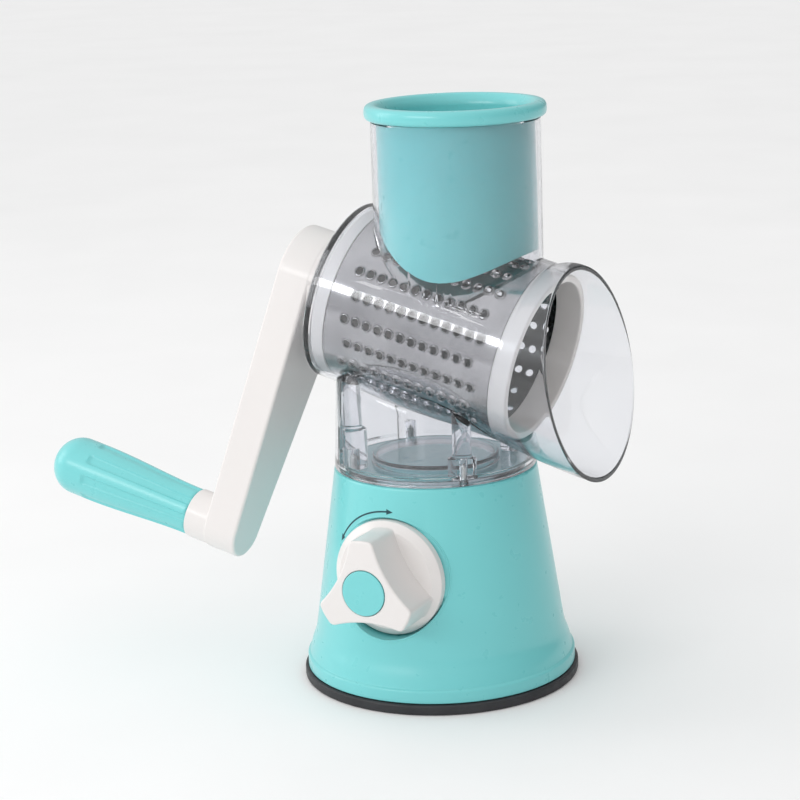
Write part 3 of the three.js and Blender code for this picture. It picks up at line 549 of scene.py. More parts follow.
def suction_pad():
    pad = lathe("suction_pad_moulding", [
        (0, 0, 0), (PAD_RADIUS, 0, 0.8), (PAD_RADIUS, PAD_TOP, 1.2), (PAD_RIM_INSIDE + 1.4, PAD_TOP, 0.8),
        (PAD_RIM_INSIDE, PAD_THICKNESS, 0.6), (0, PAD_THICKNESS, 0),
    ], UPRIGHT)
    finish_piece(pad, RUBBER, "black_rubber", "base", "suction_pad")


def cone_radius(height):
    foot_radius, foot = CONE_FOOT
    return foot_radius + (BASE_TOP_RADIUS - foot_radius) * (height - foot) / (BASE_TOP - foot)


def base_shell():
    """Hollow cone with a stepped flange, a seat sunk for the knob, its bearing, and the pillars inside."""
    shell = lathe("base_moulding", [
        (0, DECK_UNDERSIDE, 0), (cone_radius(DECK_UNDERSIDE) - BASE_WALL, DECK_UNDERSIDE, 1.5),
        (CONE_FOOT[0] - BASE_WALL, CONE_FOOT[1], 3), (FLANGE_RADIUS - BASE_WALL, FLANGE_TOP, 2),
        (FLANGE_RADIUS - BASE_WALL, BASE_BOTTOM, 0.3), (FLANGE_RADIUS, BASE_BOTTOM, 0.5),
        (FLANGE_RADIUS, FLANGE_TOP, 0.9), (FLANGE_RADIUS - 1.1, FLANGE_TOP + 0.5, 0.35),
        (FLANGE_RADIUS - 2.4, STEP_TOP, 2.4), (CONE_FOOT[0] + 0.9, STEP_TOP + 5.5, 2.6),
        (cone_radius(CONE_FOOT[1] + 2), CONE_FOOT[1] + 2, 2.6), (BASE_TOP_RADIUS, BASE_TOP, 1.3),
        (0, BASE_TOP, 0),
    ], UPRIGHT)
    cut_knob_seat(shell)
    pillar_bottom = mm_box("spring_plate")[1].z + 0.3
    pilot_top = pillar_bottom + PILLAR_PILOT_DEPTH
    for x, y in PILLAR_PLACES:
        pillar = rod("pillar", PILLAR_RADIUS, pillar_bottom, DECK_UNDERSIDE + CUT_PAST, at(x, y))
        combine(shell, pillar, "UNION")
        pilot = rod("pilot", PILOT_RADIUS, pillar_bottom - CUT_PAST, pilot_top, at(x, y))
        combine(shell, pilot, "DIFFERENCE")
    for x, y in POST_PLACES:
        hole = rod("hole", SCREW_HOLE_RADIUS, DECK_UNDERSIDE - CUT_PAST, BASE_TOP + CUT_PAST, at(x, y))
        combine(shell, hole, "DIFFERENCE")
    finish_piece(shell, TURQUOISE, "turquoise_plastic", "base", "base_shell")


def cut_knob_seat(shell):
    """Sinks a round cup into the cone's front, with a bored bearing tube behind it."""
    cup_back = SEAT_FLOOR - SEAT_WALL
    cup = rod("cup", SEAT_RADIUS + SEAT_WALL, cup_back, SEAT_FRONT, OUT_OF_FRONT, FINE_SIDES)
    inside = lathe("inside", [
        (0, BASE_BOTTOM, 0), (CONE_FOOT[0] - 1, BASE_BOTTOM, 0), (CONE_FOOT[0] - 1, CONE_FOOT[1], 0),
        (BASE_TOP_RADIUS - 1, BASE_TOP - 1, 0), (0, BASE_TOP - 1, 0),
    ], UPRIGHT)
    combine(cup, inside, "INTERSECT")
    combine(shell, cup, "UNION")
    tube = rod("tube", BEARING_TUBE_RADIUS, BEARING_TUBE_START, SEAT_FLOOR, OUT_OF_FRONT)
    combine(shell, tube, "UNION")
    hollow = rod("hollow", SEAT_RADIUS, SEAT_FLOOR, SEAT_FRONT, OUT_OF_FRONT, FINE_SIDES)
    combine(shell, hollow, "DIFFERENCE")
    bore = rod("bore", BEARING_BORE_RADIUS, BEARING_TUBE_START - CUT_PAST, SEAT_FRONT, OUT_OF_FRONT)
    combine(shell, bore, "DIFFERENCE")


def on_cone(radius, angle, lift=0.0):
    """A point on the base's front, at a radius and angle about the knob, stood off by lift."""
    x = radius * math.cos(angle)
    z = KNOB_HEIGHT + radius * math.sin(angle)
    surface = cone_radius(z) + lift
    return Vector((x, -math.sqrt(surface * surface - x * x), z))


def seat_lip():
    """Rounded edge of the knob's seat, a fine bead round the hole in the cone."""
    bead = 0.55
    spread, sink = 0.35, 0.3
    rings = []
    for angle in turns(FINE_SIDES):
        middle = on_cone(SEAT_RADIUS + spread, angle, -sink)
        out = Vector((math.cos(angle), 0, math.sin(angle)))
        rings.append([
            middle + bead * (math.cos(a) * out + math.sin(a) * Vector((0, 1, 0))) for a in turns(12)
        ])
    lip = loft("knob_seat_lip", rings, hollow=True)
    finish_piece(lip, TURQUOISE, "turquoise_plastic", "base")


def turn_arrow():
    """Printed arc with a head at each end, which says which way the knob turns."""
    radius = 30.4
    ends = (math.radians(156), math.radians(86))
    head_length = math.radians(6)
    line_half, head_half, tip_half = 0.36, 1.25, 0.02
    barb = head_length * 0.8
    sunk, proud = -0.05, 0.06
    high, low = ends
    stations = [(low, tip_half), (low + head_length, head_half), (low + barb, line_half)]
    steps = 40
    inner_low, inner_high = low + head_length, high - head_length
    for step in range(steps + 1):
        stations.append((inner_low + (inner_high - inner_low) * step / steps, line_half))
    stations += [(high - barb, line_half), (high - head_length, head_half), (high, tip_half)]
    rings = []
    for angle, half in stations:
        rings.append([
            on_cone(radius - half, angle, sunk), on_cone(radius + half, angle, sunk),
            on_cone(radius + half, angle, proud), on_cone(radius - half, angle, proud),
        ])
    arrow = loft("turn_arrow", rings)
    finish_piece(arrow, INK, "turquoise_plastic", "base")


# ------------------------------------------------------------------ lock knob

def polar(radius, angle):
    return Vector((radius * math.cos(angle), radius * math.sin(angle)))


def on_curve(start, control, end, share):
    """A point on a curve from start to end that is drawn towards control."""
    rest = 1 - share
    return rest * rest * start + 2 * share * rest * control + share * share * end


def curve_points(start, control, end, steps, first, last):
    return [on_curve(start, control, end, first + (last - first) * k / steps) for k in range(steps + 1)]


def lobe_outline():
    """Three lobes with arcs for ends and hollow curves between, their corners rounded."""
    outline = []
    turn = 2 * math.pi / LOBES
    trim = 0.06
    arc_steps, corner_steps, valley_steps = 8, 4, 40
    corner_part = (0.2, 0.8)
    arc_half = LOBE_HALF - LOBE_CORNER
    for lobe in range(LOBES):
        middle = FIRST_LOBE + lobe * turn
        for step in range(arc_steps + 1):
            outline.append(polar(LOBE_RADIUS, middle - arc_half + 2 * arc_half * step / arc_steps))
        tip = polar(LOBE_RADIUS, middle + LOBE_HALF)
        after = polar(LOBE_RADIUS, middle + turn - LOBE_HALF)
        valley = polar(VALLEY_CONTROL, middle + turn / 2)
        leave = on_curve(tip, valley, after, trim)
        arrive = on_curve(tip, valley, after, 1 - trim)
        outline += curve_points(
            polar(LOBE_RADIUS, middle + arc_half), tip, leave, corner_steps, *corner_part)
        outline += curve_points(tip, valley, after, valley_steps, trim, 1 - trim)
        outline += curve_points(
            arrive, after, polar(LOBE_RADIUS, middle + turn - arc_half), corner_steps, *corner_part)
    return outline


def offset_outline(outline, distance):
    """The outline moved outwards by a distance, square to itself."""
    count = len(outline)
    moved = []
    for index, here in enumerate(outline):
        along = (outline[(index + 1) % count] - outline[index - 1]).normalized()
        moved.append(here + distance * Vector((along.y, -along.x)))
    return moved


def lock_knob():
    """Round skirt with the lobes standing on it, and a recess in their face for the cap."""
    outline = lobe_outline()
    angles = [math.atan2(point.y, point.x) for point in outline]
    chamfer = (SKIRT_FACE - KNOB_RIM) / (KNOB_RADIUS - SKIRT_FACE_RADIUS)

    def circle(radius, depth):
        return [OUT_OF_FRONT @ around(radius, angle, depth) for angle in angles]

    def skirt_depth(radius):
        return SKIRT_FACE - max(0.0, radius - SKIRT_FACE_RADIUS) * chamfer

    def outline_ring(offset, depth=None, above=0.0):
        ring = []
        for point in offset_outline(outline, offset):
            height = depth if depth is not None else skirt_depth(point.length) + above
            ring.append(OUT_OF_FRONT @ Vector((point.x, point.y, height)))
        return ring

    skirt = rounded([
        (0, KNOB_BACK, 0), (KNOB_RADIUS, KNOB_BACK, 0.4), (KNOB_RADIUS, KNOB_RIM, 0.5),
        (SKIRT_FACE_RADIUS + 2.2, skirt_depth(SKIRT_FACE_RADIUS + 2.2), 0),
    ])
    rings = [circle(radius, depth) for radius, depth in skirt]
    crease = []
    for point, angle in zip(outline, angles):
        radius = max(SKIRT_FACE_RADIUS, point.length + 0.75)
        crease.append(OUT_OF_FRONT @ around(radius, angle, skirt_depth(radius)))
    rings.append(crease)
    rings += [outline_ring(0.5), outline_ring(0.18, above=0.14), outline_ring(0, above=0.5)]
    edge = 1.1
    rings.append(outline_ring(0, KNOB_FRONT - edge))
    for step in range(1, 6):
        slant = math.radians(90) * step / 5
        rings.append(outline_ring(-edge * (1 - math.cos(slant)), KNOB_FRONT - edge + edge * math.sin(slant)))
    recess = rounded([
        (CAP_RADIUS + 1.2, KNOB_FRONT, 0), (CAP_RADIUS + 0.35, KNOB_FRONT, 0.3),
        (CAP_RADIUS + 0.3, CAP_BACK - 0.3, 0), (5, CAP_BACK - 0.3, 0), (5, KNOB_SCREW_SEAT, 0),
        (0, KNOB_SCREW_SEAT, 0),
    ])
    rings += [circle(radius, depth) for radius, depth in recess]
    knob = loft("lock_knob_moulding", rings)
    socket = rod("socket", KNOB_SOCKET_RADIUS, KNOB_BACK - CUT_PAST, KNOB_SOCKET_END, OUT_OF_FRONT, HEX_SIDES)
    combine(knob, socket, "DIFFERENCE")
    finish_piece(knob, WHITE, "white_plastic", "knob", "lock_knob")


def knob_cap():
    cap = lathe("knob_cap_disc", [
        (0, CAP_BACK, 0), (CAP_RADIUS, CAP_BACK, 0.2), (CAP_RADIUS, CAP_FRONT - 0.1, 0.4),
        (CAP_RADIUS * 0.6, CAP_FRONT, 2), (0, CAP_FRONT, 0),
    ], OUT_OF_FRONT)
    finish_piece(cap, TURQUOISE, "turquoise_plastic", "knob", "knob_cap")


# ------------------------------------------------------------------ clear housing

def axis_ring(station, radius, lean):
    """A circle round the drum's axis, its plane leaned over."""
    ring = []
    for angle in turns(FINE_SIDES):
        up = radius * math.cos(angle)
        ring.append(AXIS @ Vector((
            station + up * math.sin(lean), radius * math.sin(angle), up * math.cos(lean))))
    return ring


def flare(thickness, steps=14):
    """From the round barrel to the wider, leaning mouth."""
    rings = []
    for step in range(steps + 1):
        share = step / steps
        station = FLARE_START + (MOUTH_CENTRE - FLARE_START) * share
        radius = BARREL_RADIUS + (MOUTH_RADIUS - BARREL_RADIUS) * share - thickness
        rings.append(axis_ring(station, radius, MOUTH_TILT * share))
    return rings


def mouth_lip(steps=8):
    """Blunt lip between the flare's outside and its inside."""
    rings = []
    for step in range(1, steps):
        slant = math.pi * step / steps
        blunt = math.copysign(math.sqrt(abs(math.cos(slant))), math.cos(slant))
        radius = MOUTH_RADIUS - WALL / 2 + WALL / 2 * blunt
        rings.append(axis_ring(MOUTH_CENTRE + WALL / 3 * math.sqrt(math.sin(slant)), radius, MOUTH_TILT))
    return rings


def barrel():
    rear = rounded([
        (HUB_HOLE_RADIUS, REAR_WALL_FACE, 0.3), (HUB_HOLE_RADIUS, BARREL_REAR, 0.5),
        (BARREL_RADIUS, BARREL_REAR, 1.8), (BARREL_RADIUS, BARREL_REAR + 10, 0),
    ], hollow=True)
    rings = [axis_ring(station, radius, 0) for radius, station in rear]
    rings += flare(0) + mouth_lip() + flare(WALL)[::-1]
    rings += [axis_ring(REAR_WALL_FACE + 1, BARREL_RADIUS - WALL, 0)]
    rings += [axis_ring(REAR_WALL_FACE, BARREL_RADIUS - WALL - 1, 0)]
    return loft("clear_housing_moulding", rings, hollow=True)


def barrel_bore():
    rings = [axis_ring(REAR_WALL_FACE, BARREL_RADIUS - WALL, 0)] + flare(WALL)
    return loft("barrel_bore", rings)


def axis_plane_height(x, across):
    """Height of the plane that lies a distance across (above) the drum's axis, over a point's X."""
    return AXIS_HEIGHT + (across - x * math.sin(AXIS_TILT)) / math.cos(AXIS_TILT)


def chute_ring(radius, height=None):
    ring = []
    for angle in turns(FINE_SIDES):
        x = CHUTE_X + radius * math.cos(angle)
        z = axis_plane_height(x, 0) if height is None else height
        ring.append(Vector((x, radius * math.sin(angle), z)))
    return ring


def chute_bore():
    return loft("chute_bore", [chute_ring(CHUTE_BORE_RADIUS), chute_ring(CHUTE_BORE_RADIUS, CHUTE_TOP + 1)])


def chute_tube():
    lip = 0.5
    return loft("chute_tube", [
        chute_ring(CHUTE_RADIUS), chute_ring(CHUTE_RADIUS, CHUTE_TOP - lip),
        chute_ring(CHUTE_RADIUS - lip, CHUTE_TOP), chute_ring(CHUTE_BORE_RADIUS + lip, CHUTE_TOP),
        chute_ring(CHUTE_BORE_RADIUS, CHUTE_TOP - lip), chute_ring(CHUTE_BORE_RADIUS),
    ], hollow=True)


def pedestal():
    """Round foot of the housing, its rounded shoulder cut off parallel to the barrel."""
    neck_radius, neck_height = PEDESTAL_NECK
    under = WALL / math.cos(AXIS_TILT)
    middle = 20
    sections = []
    for angle in turns(FINE_SIDES):
        def top(radius):
            return min(axis_plane_height(radius * math.cos(angle), -SHOULDER_DEPTH), neck_height)

        share = (top(neck_radius) - PEDESTAL_BOTTOM) / (neck_height - PEDESTAL_BOTTOM)
        corner = PEDESTAL_FOOT_RADIUS + (neck_radius - PEDESTAL_FOOT_RADIUS) * share
        profile = rounded([
            (FOOT_RIM_RADIUS, PEDESTAL_BOTTOM, 0.3), (PEDESTAL_FOOT_RADIUS, PEDESTAL_BOTTOM, 0.6),
            (corner, top(corner), 9), (middle, top(middle), 0), (middle, top(middle) - under, 0),
            (corner - WALL, top(corner) - under, 7),
            (PEDESTAL_FOOT_RADIUS - WALL, PEDESTAL_BOTTOM + 4.4, 0.5),
            (FOOT_RIM_RADIUS, PEDESTAL_BOTTOM + 3.2, 0.4),
        ], hollow=True)
        sections.append([around(radius, angle, height) for radius, height in profile])
    rings = [[section[index] for section in sections] for index in range(len(sections[0]))]
    return loft("pedestal", rings, hollow=True)


def housing_post(x, y):
    """Stepped screw post, its step lower on the mouth's side."""
    bottom = PEDESTAL_BOTTOM + POST_START
    step = POST_STEPS[-1 if x < 0 else 1]
    return lathe("post", [
        (0, bottom, 0), (POST_FOOT_RADIUS, bottom, 0.4), (POST_FOOT_RADIUS, step, 0.8),
        (POST_NECK_RADIUS, step + 0.6, 0.3), (POST_TIP_RADIUS, POST_TIP, 0), (0, POST_TIP, 0),
    ], at(x, y), SMALL_SIDES)


def clear_housing():
    """Barrel with its flared mouth, chute, pedestal and posts, all one moulding."""
    housing = barrel()
    combine(housing, chute_bore(), "DIFFERENCE")
    chute = chute_tube()
    combine(chute, barrel_bore(), "DIFFERENCE")
    combine(housing, chute, "UNION")
    foot = pedestal()
    combine(foot, barrel_bore(), "DIFFERENCE")
    combine(housing, foot, "UNION")
    for x, y in POST_PLACES:
        post = housing_post(x, y)
        combine(post, barrel_bore(), "DIFFERENCE")
        combine(housing, post, "UNION")
        pilot = rod("pilot", PILOT_RADIUS, PEDESTAL_BOTTOM, PEDESTAL_BOTTOM + POST_PILOT_DEPTH, at(x, y))
        combine(housing, pilot, "DIFFERENCE")
    finish_piece(housing, CLEAR, "clear_plastic", "base", "clear_housing")


def seat_plate():
    """Clear plate with a raised, hollow seat ring in its middle."""
    ring_top = seat_high.z
    ring_wall = 2
    plate_top = PEDESTAL_BOTTOM + 2
    plate = lathe("seat_plate_moulding", [
        (0, ring_top - ring_wall, 0), (SEAT_RING_RADIUS - ring_wall, ring_top - ring_wall, 0.6),
        (SEAT_RING_RADIUS - ring_wall, PEDESTAL_BOTTOM, 0.3), (seat_high.x, PEDESTAL_BOTTOM, 0.3),
        (seat_high.x, plate_top, 0.5), (SEAT_RING_RADIUS, plate_top, 0.6),
        (SEAT_RING_RADIUS, ring_top, 0.8), (0, ring_top, 0),
    ], UPRIGHT)
    for x, y in POST_PLACES:
        hole = rod("hole", SCREW_HOLE_RADIUS, PEDESTAL_BOTTOM - CUT_PAST, plate_top + CUT_PAST, at(x, y))
        combine(plate, hole, "DIFFERENCE")
    finish_piece(plate, CLEAR, "clear_plastic", "base", "seat_plate")


# ------------------------------------------------------------------ grating drum

def drum_point(station, angle, radius):
    return AXIS @ Vector((station, radius * math.sin(angle), radius * math.cos(angle)))


def drum_stations():
    """Stations along the axis: a plain end, the lattice that holds the teeth, and another plain end."""
    cell = HOLE_PITCH / CELL_STEPS
    first = FIRST_HOLE - HOLE_PITCH / 2
    lattice = [first + cell * k for k in range(HOLES_PER_ROW * CELL_STEPS + HALF_CELL + 1)]
    rear_step = (lattice[0] - sheet_low.x) / PLAIN_STEPS
    front_step = (sheet_high.x - lattice[-1]) / PLAIN_STEPS
    rear = [sheet_low.x + rear_step * k for k in range(PLAIN_STEPS)]
    front = [lattice[-1] + front_step * k for k in range(1, PLAIN_STEPS + 1)]
    return rear + lattice + front


class Sheet:
    """Points and faces of the drum's sheet; a point's lift is its height over the drum's radius."""

    def __init__(self):
        self.stations = drum_stations()
        self.points = []
        self.faces = []
        self.known = {}

    def angle(self, side):
        return FIRST_ROW_ANGLE + (side - HALF_CELL) * 2 * math.pi / SHEET_SIDES

    def add(self, station, angle, lift):
        self.points.append(drum_point(station, angle, DRUM_RADIUS + lift))
        return len(self.points) - 1

    def grid_point(self, column, side, lift):
        key = (column, side % SHEET_SIDES, lift)
        if key not in self.known:
            self.known[key] = self.add(self.stations[column], self.angle(side), lift)
        return self.known[key]

    def tooth_ring(self, column, side, radius, lift):
        ring = []
        for turn in turns(4 * CELL_STEPS):
            station = self.stations[column] + radius * math.cos(turn + math.radians(45))
            angle = self.angle(side) + radius * math.sin(turn + math.radians(45)) / DRUM_RADIUS
            ring.append(self.add(station, angle, lift))
        return ring

    def bridge(self, before, after):
        for corner in range(len(before)):
            following = (corner + 1) % len(before)
            self.faces.append((before[corner], before[following], after[following], after[corner]))

    def hole(self, column, side):
        """A raised tooth with an open top, from its cell's border outside to the same border inside."""
        border = cell_border()
        rings = [[self.grid_point(column + c, side + r, 0) for c, r in border]]
        rings += [self.tooth_ring(column, side, radius, lift) for radius, lift in TOOTH]
        rings.append([self.grid_point(column + c, side + r, INSIDE) for c, r in border])
        for before, after in zip(rings, rings[1:]):
            self.bridge(before, after)

    def plain_face(self, column, side, lift):
        self.faces.append((
            self.grid_point(column, side, lift), self.grid_point(column, side + 1, lift),
            self.grid_point(column + 1, side + 1, lift), self.grid_point(column + 1, side, lift)))

    def edge(self, column):
        outer, inner = (
            [self.grid_point(column, side, lift) for side in range(SHEET_SIDES)] for lift in (0, INSIDE))
        self.bridge(outer, inner)


def cell_border():
    """Steps from a cell's middle to each point of its border, once round."""
    half = HALF_CELL
    steps = range(CELL_STEPS)
    border = [(half - k, half) for k in steps] + [(-half, half - k) for k in steps]
    return border + [(-half + k, -half) for k in steps] + [(half, -half + k) for k in steps]


def drum_sheet():
    """Steel sheet with staggered rows of raised, open teeth, its inside and outside joined at the ends."""
    sheet = Sheet()
    cell = range(-HALF_CELL, HALF_CELL)
    covered = set()
    for row in range(HOLE_ROWS):
        side = row * CELL_STEPS + HALF_CELL
        stagger = HALF_CELL * (row % 2)
        for hole in range(HOLES_PER_ROW):
            column = PLAIN_STEPS + stagger + hole * CELL_STEPS + HALF_CELL
            covered.update((column + c, side + r) for c in cell for r in cell)
            sheet.hole(column, side)
    last = len(sheet.stations) - 1
    for lift in (0, INSIDE):
        for column in range(last):
            for side in range(SHEET_SIDES):
                if (column, side) not in covered:
                    sheet.plain_face(column, side, lift)
    sheet.edge(0)
    sheet.edge(last)
    piece = make_mesh("drum_grating_sheet", sheet.points, sheet.faces)
    finish_piece(piece, STEEL, "stainless_sheet", "drum", "drum_shell")


def drum_rings():
    """White end rings with spigots inside the sheet; the drive ring's hub has a hexagonal socket."""
    spigot = DRUM_RADIUS - SHEET_THICKNESS - RING_GAP
    shoulder = sheet_high.x + RING_GAP
    spigot_end = shoulder - FRONT_SPIGOT_LENGTH
    front = lathe("drum_front_collar", [
        (RING_BORE_RADIUS, spigot_end, 0.4), (spigot, spigot_end, 0.4), (spigot, shoulder, 0),
        (RING_RADIUS, shoulder, 0.5), (RING_RADIUS, ring_high.x, 1.1), (RING_BORE_RADIUS, ring_high.x, 1.0),
    ], ALONG_AXIS, hollow=True)
    finish_piece(front, WHITE, "white_plastic", "drum", "drum_front_ring")

    web = drive_low.x + DRIVE_WEB
    hub_end = drive_high.x
    shoulder = sheet_low.x - RING_GAP
    spigot_end = shoulder + DRIVE_SPIGOT_LENGTH
    drive = lathe("drum_drive_collar", [
        (0, drive_low.x, 0), (RING_RADIUS, drive_low.x, 1.1), (RING_RADIUS, shoulder, 0.5),
        (spigot, shoulder, 0), (spigot, spigot_end, 0.4), (RING_BORE_RADIUS, spigot_end, 0.4),
        (RING_BORE_RADIUS, web, 1.5), (DRIVE_HUB_RADIUS, web, 1.5), (DRIVE_HUB_RADIUS, hub_end, 0.8),
        (0, hub_end, 0),
    ], ALONG_AXIS)
    socket = rod("socket", DRIVE_SOCKET_RADIUS, drive_low.x - CUT_PAST, hub_end - DRIVE_SOCKET_FLOOR,
                 ALONG_AXIS, HEX_SIDES)
    combine(drive, socket, "DIFFERENCE")
    finish_piece(drive, WHITE, "white_plastic", "drum", "drum_drive_ring")


# ------------------------------------------------------------------ crank and grip

def arm_ring(station, inset):
    """The arm's outline, a big and a small arc joined by tangents, moved in by inset."""
    length = math.hypot(GRIP_Y, GRIP_Z)
    heading = math.atan2(GRIP_Z, GRIP_Y)
    tangent = math.acos((HUB_RADIUS - ARM_END_RADIUS) / length)
    steps = 48
    ring = []
    for step in range(steps + 1):
        angle = heading + tangent + (2 * math.pi - 2 * tangent) * step / steps
        reach = HUB_RADIUS - inset
        ring.append(AXIS @ Vector((station, reach * math.cos(angle), reach * math.sin(angle))))
    for step in range(steps + 1):
        angle = heading - tangent + 2 * tangent * step / steps
        reach = ARM_END_RADIUS - inset
        ring.append(AXIS @ Vector((
            station, GRIP_Y + reach * math.cos(angle), GRIP_Z + reach * math.sin(angle))))
    return ring


def rounded_arm():
    """The arm's plate, its outline drawn in along a quarter circle at both faces."""
    rings = []
    for face, inwards in ((ARM_OUTER_FACE, 1), (ARM_INNER_FACE, -1)):
        curve = []
        for step in range(ARC_STEPS + 1):
            slant = math.radians(90) * step / ARC_STEPS
            station = face + inwards * ARM_EDGE * (1 - math.sin(slant))
            curve.append(arm_ring(station, ARM_EDGE * (1 - math.cos(slant))))
        rings += curve[::-1] if inwards > 0 else curve
    return loft("crank_arm_moulding", rings)


def crank_arm():
    """The arm with its hub towards the drum, the grip's stub, and the seats for its screw, cap and pin."""
    arm = rounded_arm()
    inner_start = ARM_OUTER_FACE + ARM_SLACK
    hub = rod("hub", HUB_RADIUS - 0.25, inner_start, HUB_INNER_END, ALONG_AXIS, FINE_SIDES, 0.8)
    combine(arm, hub, "UNION")
    stub = rod("stub", ARM_END_RADIUS - 0.4, arm_low.x, inner_start, ALONG_GRIP, FINE_SIDES, 0.6)
    combine(arm, stub, "UNION")
    outside = ARM_OUTER_FACE - CUT_PAST
    inside = HUB_INNER_END + CUT_PAST
    cuts = [
        rod("cap_seat", CAP_SEAT_RADIUS, outside, CAP_SEAT_FLOOR, ALONG_AXIS),
        rod("screw_seat", SCREW_SEAT_RADIUS, outside, SCREW_SEAT_FLOOR, ALONG_AXIS),
        rod("screw_hole", SCREW_BORE_RADIUS, outside, inside, ALONG_AXIS),
        rod("tail_socket", TAIL_SOCKET_RADIUS, TAIL_SOCKET_FLOOR, inside, ALONG_AXIS, HEX_SIDES),
        rod("pin_hole", GRIP_PIN_RADIUS + 0.3, arm_low.x - CUT_PAST, PIN_HOLE_FLOOR, ALONG_GRIP),
    ]
    for cut in cuts:
        combine(arm, cut, "DIFFERENCE")
    finish_piece(arm, WHITE, "white_plastic", "crank", "crank_arm")


def hub_cap():
    cap_face = ARM_OUTER_FACE - HUB_CAP_PROUD
    cap = lathe("hub_cap_disc", [
        (0, cap_face, 0), (HUB_CAP_RADIUS, cap_face, 0.7), (HUB_CAP_RADIUS, HUB_CAP_BACK, 0.2),
        (0, HUB_CAP_BACK, 0),
    ], ALONG_AXIS)
    finish_piece(cap, WHITE, "white_plastic", "crank", "hub_cap")


def smooth_step(value, low, high):
    share = min(1.0, max(0.0, (value - low) / (high - low)))
    return share * share * (3 - 2 * share)


def grip_outline(length):
    """Distance along and radius of the grip's outside, from its neck to the tip of its round end."""
    outline = [(0.0, GRIP_NECK_RADIUS - GRIP_FACE_EDGE), (0.3, GRIP_NECK_RADIUS - 0.35)]
    steps = 60
    for step in range(steps + 1):
        along = GRIP_FACE_EDGE + (length - GRIP_ROUND_END - GRIP_FACE_EDGE) * step / steps
        swell = smooth_step(along, 0, length * 0.72)
        outline.append((along, GRIP_NECK_RADIUS + (GRIP_BULB_RADIUS - GRIP_NECK_RADIUS) * swell))
    end_steps = 16
    for step in range(1, end_steps + 1):
        slant = math.radians(90) * step / end_steps
        along = length - GRIP_ROUND_END + GRIP_ROUND_END * math.sin(slant)
        outline.append((along, GRIP_BULB_RADIUS * math.cos(slant)))
    return outline


def grip_ring(along, radius, depth=0.0):
    """A ring of points on the grip, drawn in by depth at its flat flutes."""
    ring = []
    for angle in turns(FINE_SIDES):
        flute = smooth_step(math.cos(FLUTES * angle), 0.0, 0.5)
        reach = max(radius - depth * flute, 0)
        ring.append(ALONG_GRIP @ around(reach, angle, GRIP_START - along))
    return ring


def handle_grip():
    """Tapered grip with flat flutes that stop before a plain, round end, and a bore for its pin."""
    length = GRIP_START - GRIP_END
    flute_end = length * FLUTE_END_SHARE
    rings = []
    for along, radius in grip_outline(length):
        fade = 1 - smooth_step(along, flute_end, flute_end + FLUTE_RAMP)
        rings.append(grip_ring(along, radius, FLUTE_DEPTH * fade))
    rings.reverse()
    lip = GRIP_PIN_RADIUS + 0.5
    bore = GRIP_PIN_RADIUS + 1.3
    bore_end = length - 13
    for along, radius in ((0, lip), (2, lip), (3, bore), (bore_end, bore), (bore_end + 1, 0)):
        rings.append(grip_ring(along, radius))
    grip = loft("handle_grip_moulding", rings)
    finish_piece(grip, TURQUOISE, "turquoise_plastic", "grip", "handle_grip")


# ------------------------------------------------------------------ food pusher

def saddle_height(x, y, radius):
    """Height of the top of a cylinder round the drum's axis."""
    return axis_plane_height(x, math.sqrt(radius * radius - y * y))


def food_pusher():
    """Deep cup with a rolled rim, its floor a saddle over the drum."""
    floor_shares = (0, 0.2, 0.4, 0.58, 0.74, 0.88)
    sections = []
    for angle in turns(FINE_SIDES):
        def on_saddle(reach, radius, size=0.0):
            height = saddle_height(CHUTE_X + reach * math.cos(angle), reach * math.sin(angle), radius)
            return (reach, height, size)

        inner = SADDLE_RADIUS + SADDLE_THICKNESS
        corners = [on_saddle(PUSHER_RADIUS * share, SADDLE_RADIUS) for share in floor_shares]
        corners += [
            on_saddle(PUSHER_RADIUS, SADDLE_RADIUS, 1.0), (PUSHER_RADIUS, PUSHER_RIM_BOTTOM, 0.5),
            (PUSHER_RIM_RADIUS, PUSHER_RIM_BOTTOM, 2.8), (PUSHER_RIM_RADIUS, PUSHER_TOP, 3.2),
            (PUSHER_BORE_RADIUS + 2.6, PUSHER_TOP, 1.6), (PUSHER_BORE_RADIUS, PUSHER_TOP - 3.6, 2),
            on_saddle(PUSHER_BORE_RADIUS, inner, 2.5),
        ]
        corners += [on_saddle(PUSHER_BORE_RADIUS * share, inner) for share in reversed(floor_shares)]
        sections.append([
            Vector((CHUTE_X + radius * math.cos(angle), radius * math.sin(angle), height))
            for radius, height in rounded(corners)
        ])
    rings = [[section[index] for section in sections] for index in range(len(sections[0]))]
    pusher = loft("food_pusher_moulding", rings)
    finish_piece(pusher, TURQUOISE, "turquoise_plastic", "pusher", "food_pusher")


# ------------------------------------------------------------------ hidden works

HIDDEN_FINISHES = {
    GREY: ["spring_plate", "suction_stem", "cam_shaft"],
    WHITE: ["drive_shaft"],
    ZINC: [
        "lift_spring", "shaft_clip", "knob_screw", "shaft_screw", "grip_pin",
        *[f"{kind}_screw_{number}" for kind in ("plate", "housing") for number in range(1, 5)],
    ],
}


def finish_hidden_works():
    for material, names in HIDDEN_FINISHES.items():
        for name in names:
            node = frame["nodes"][name]
            node.data.materials.clear()
            node.data.materials.append(material)


# ------------------------------------------------------------------ stage

FLOOR_REACH = 9000
FLOOR_DEPTH = -0.2
LIGHT_TARGET = (0, 0, 0.14)


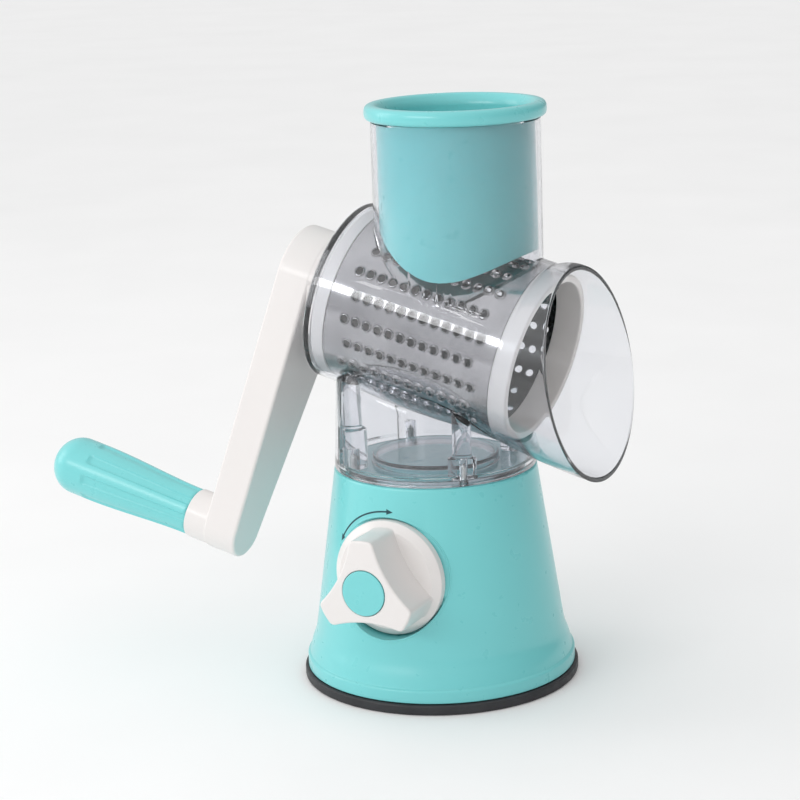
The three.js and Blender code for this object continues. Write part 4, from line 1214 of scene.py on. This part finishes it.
def camera():
    """The photo's view: from the front and the mouth's side, a little above."""
    lens = bpy.data.cameras.new("camera")
    lens.sensor_width = 36
    lens.lens = 103.68
    lens.clip_end = 50
    place = (0.46835, -0.92999, 0.38413)
    right = (0.88956, 0.45554, -0.03411)
    up = (-0.07810, 0.22523, 0.97117)
    back = (0.45009, -0.86125, 0.23593)
    view = bpy.data.objects.new("camera", lens)
    turned = Matrix((right, up, back)).transposed()
    view.matrix_world = Matrix.Translation(place) @ turned.to_4x4()
    bpy.context.scene.collection.objects.link(view)
    bpy.context.scene.camera = view


def soft_light(name, place, size, power):
    """A rectangular softbox aimed at the middle of the object."""
    lamp = bpy.data.lights.new(name, "AREA")
    lamp.shape = "RECTANGLE"
    lamp.size, lamp.size_y = size
    lamp.energy = power
    light = bpy.data.objects.new(name, lamp)
    target = Vector(LIGHT_TARGET)
    light.location = Vector(place)
    light.rotation_euler = (target - light.location).to_track_quat("-Z", "Y").to_euler()
    bpy.context.scene.collection.objects.link(light)


def studio():
    """Pale floor, soft surroundings, and two softboxes in front and to the left."""
    corners = [(-1, -1), (1, -1), (1, 1), (-1, 1)]
    points = [(x * FLOOR_REACH, y * FLOOR_REACH, FLOOR_DEPTH) for x, y in corners]
    floor = make_mesh("floor", points, [(0, 1, 2, 3)], outward=False)
    floor.data.materials.append(pale_floor())
    bpy.context.scene.world = studio_sky()
    bpy.context.scene.view_settings.view_transform = "Standard"
    soft_light("key_softbox", (-0.42, -1.28, 0.68), (0.95, 0.22), 3.6)
    soft_light("left_softbox", (-1.3, -0.3, 0.6), (0.6, 0.8), 2.2)


def studio_sky():
    """Soft surroundings, brightest overhead on the left and dim on the right."""
    brightest = Vector((-0.45, -0.35, 0.82)).normalized()
    middle_strength = 0.47
    swing = 0.78
    darkest = 0.08
    world = bpy.data.worlds.new("studio")
    world.use_nodes = True
    tree = world.node_tree
    direction = tree.nodes.new("ShaderNodeTexCoord")
    towards = tree.nodes.new("ShaderNodeVectorMath")
    towards.operation = "DOT_PRODUCT"
    towards.inputs[1].default_value = brightest
    strength = tree.nodes.new("ShaderNodeMapRange")
    strength.inputs["From Min"].default_value = -middle_strength / swing
    strength.inputs["From Max"].default_value = 1
    strength.inputs["To Min"].default_value = darkest
    strength.inputs["To Max"].default_value = middle_strength + swing
    sky = tree.nodes["Background"]
    sky.inputs["Color"].default_value = (1, 1, 1, 1)
    tree.links.new(direction.outputs["Generated"], towards.inputs[0])
    tree.links.new(towards.outputs["Value"], strength.inputs["Value"])
    tree.links.new(strength.outputs["Result"], sky.inputs["Strength"])
    return world


studio()
camera()
suction_pad()
base_shell()
seat_lip()
turn_arrow()
lock_knob()
knob_cap()
clear_housing()
seat_plate()
drum_sheet()
drum_rings()
crank_arm()
hub_cap()
handle_grip()
food_pusher()
finish_hidden_works()
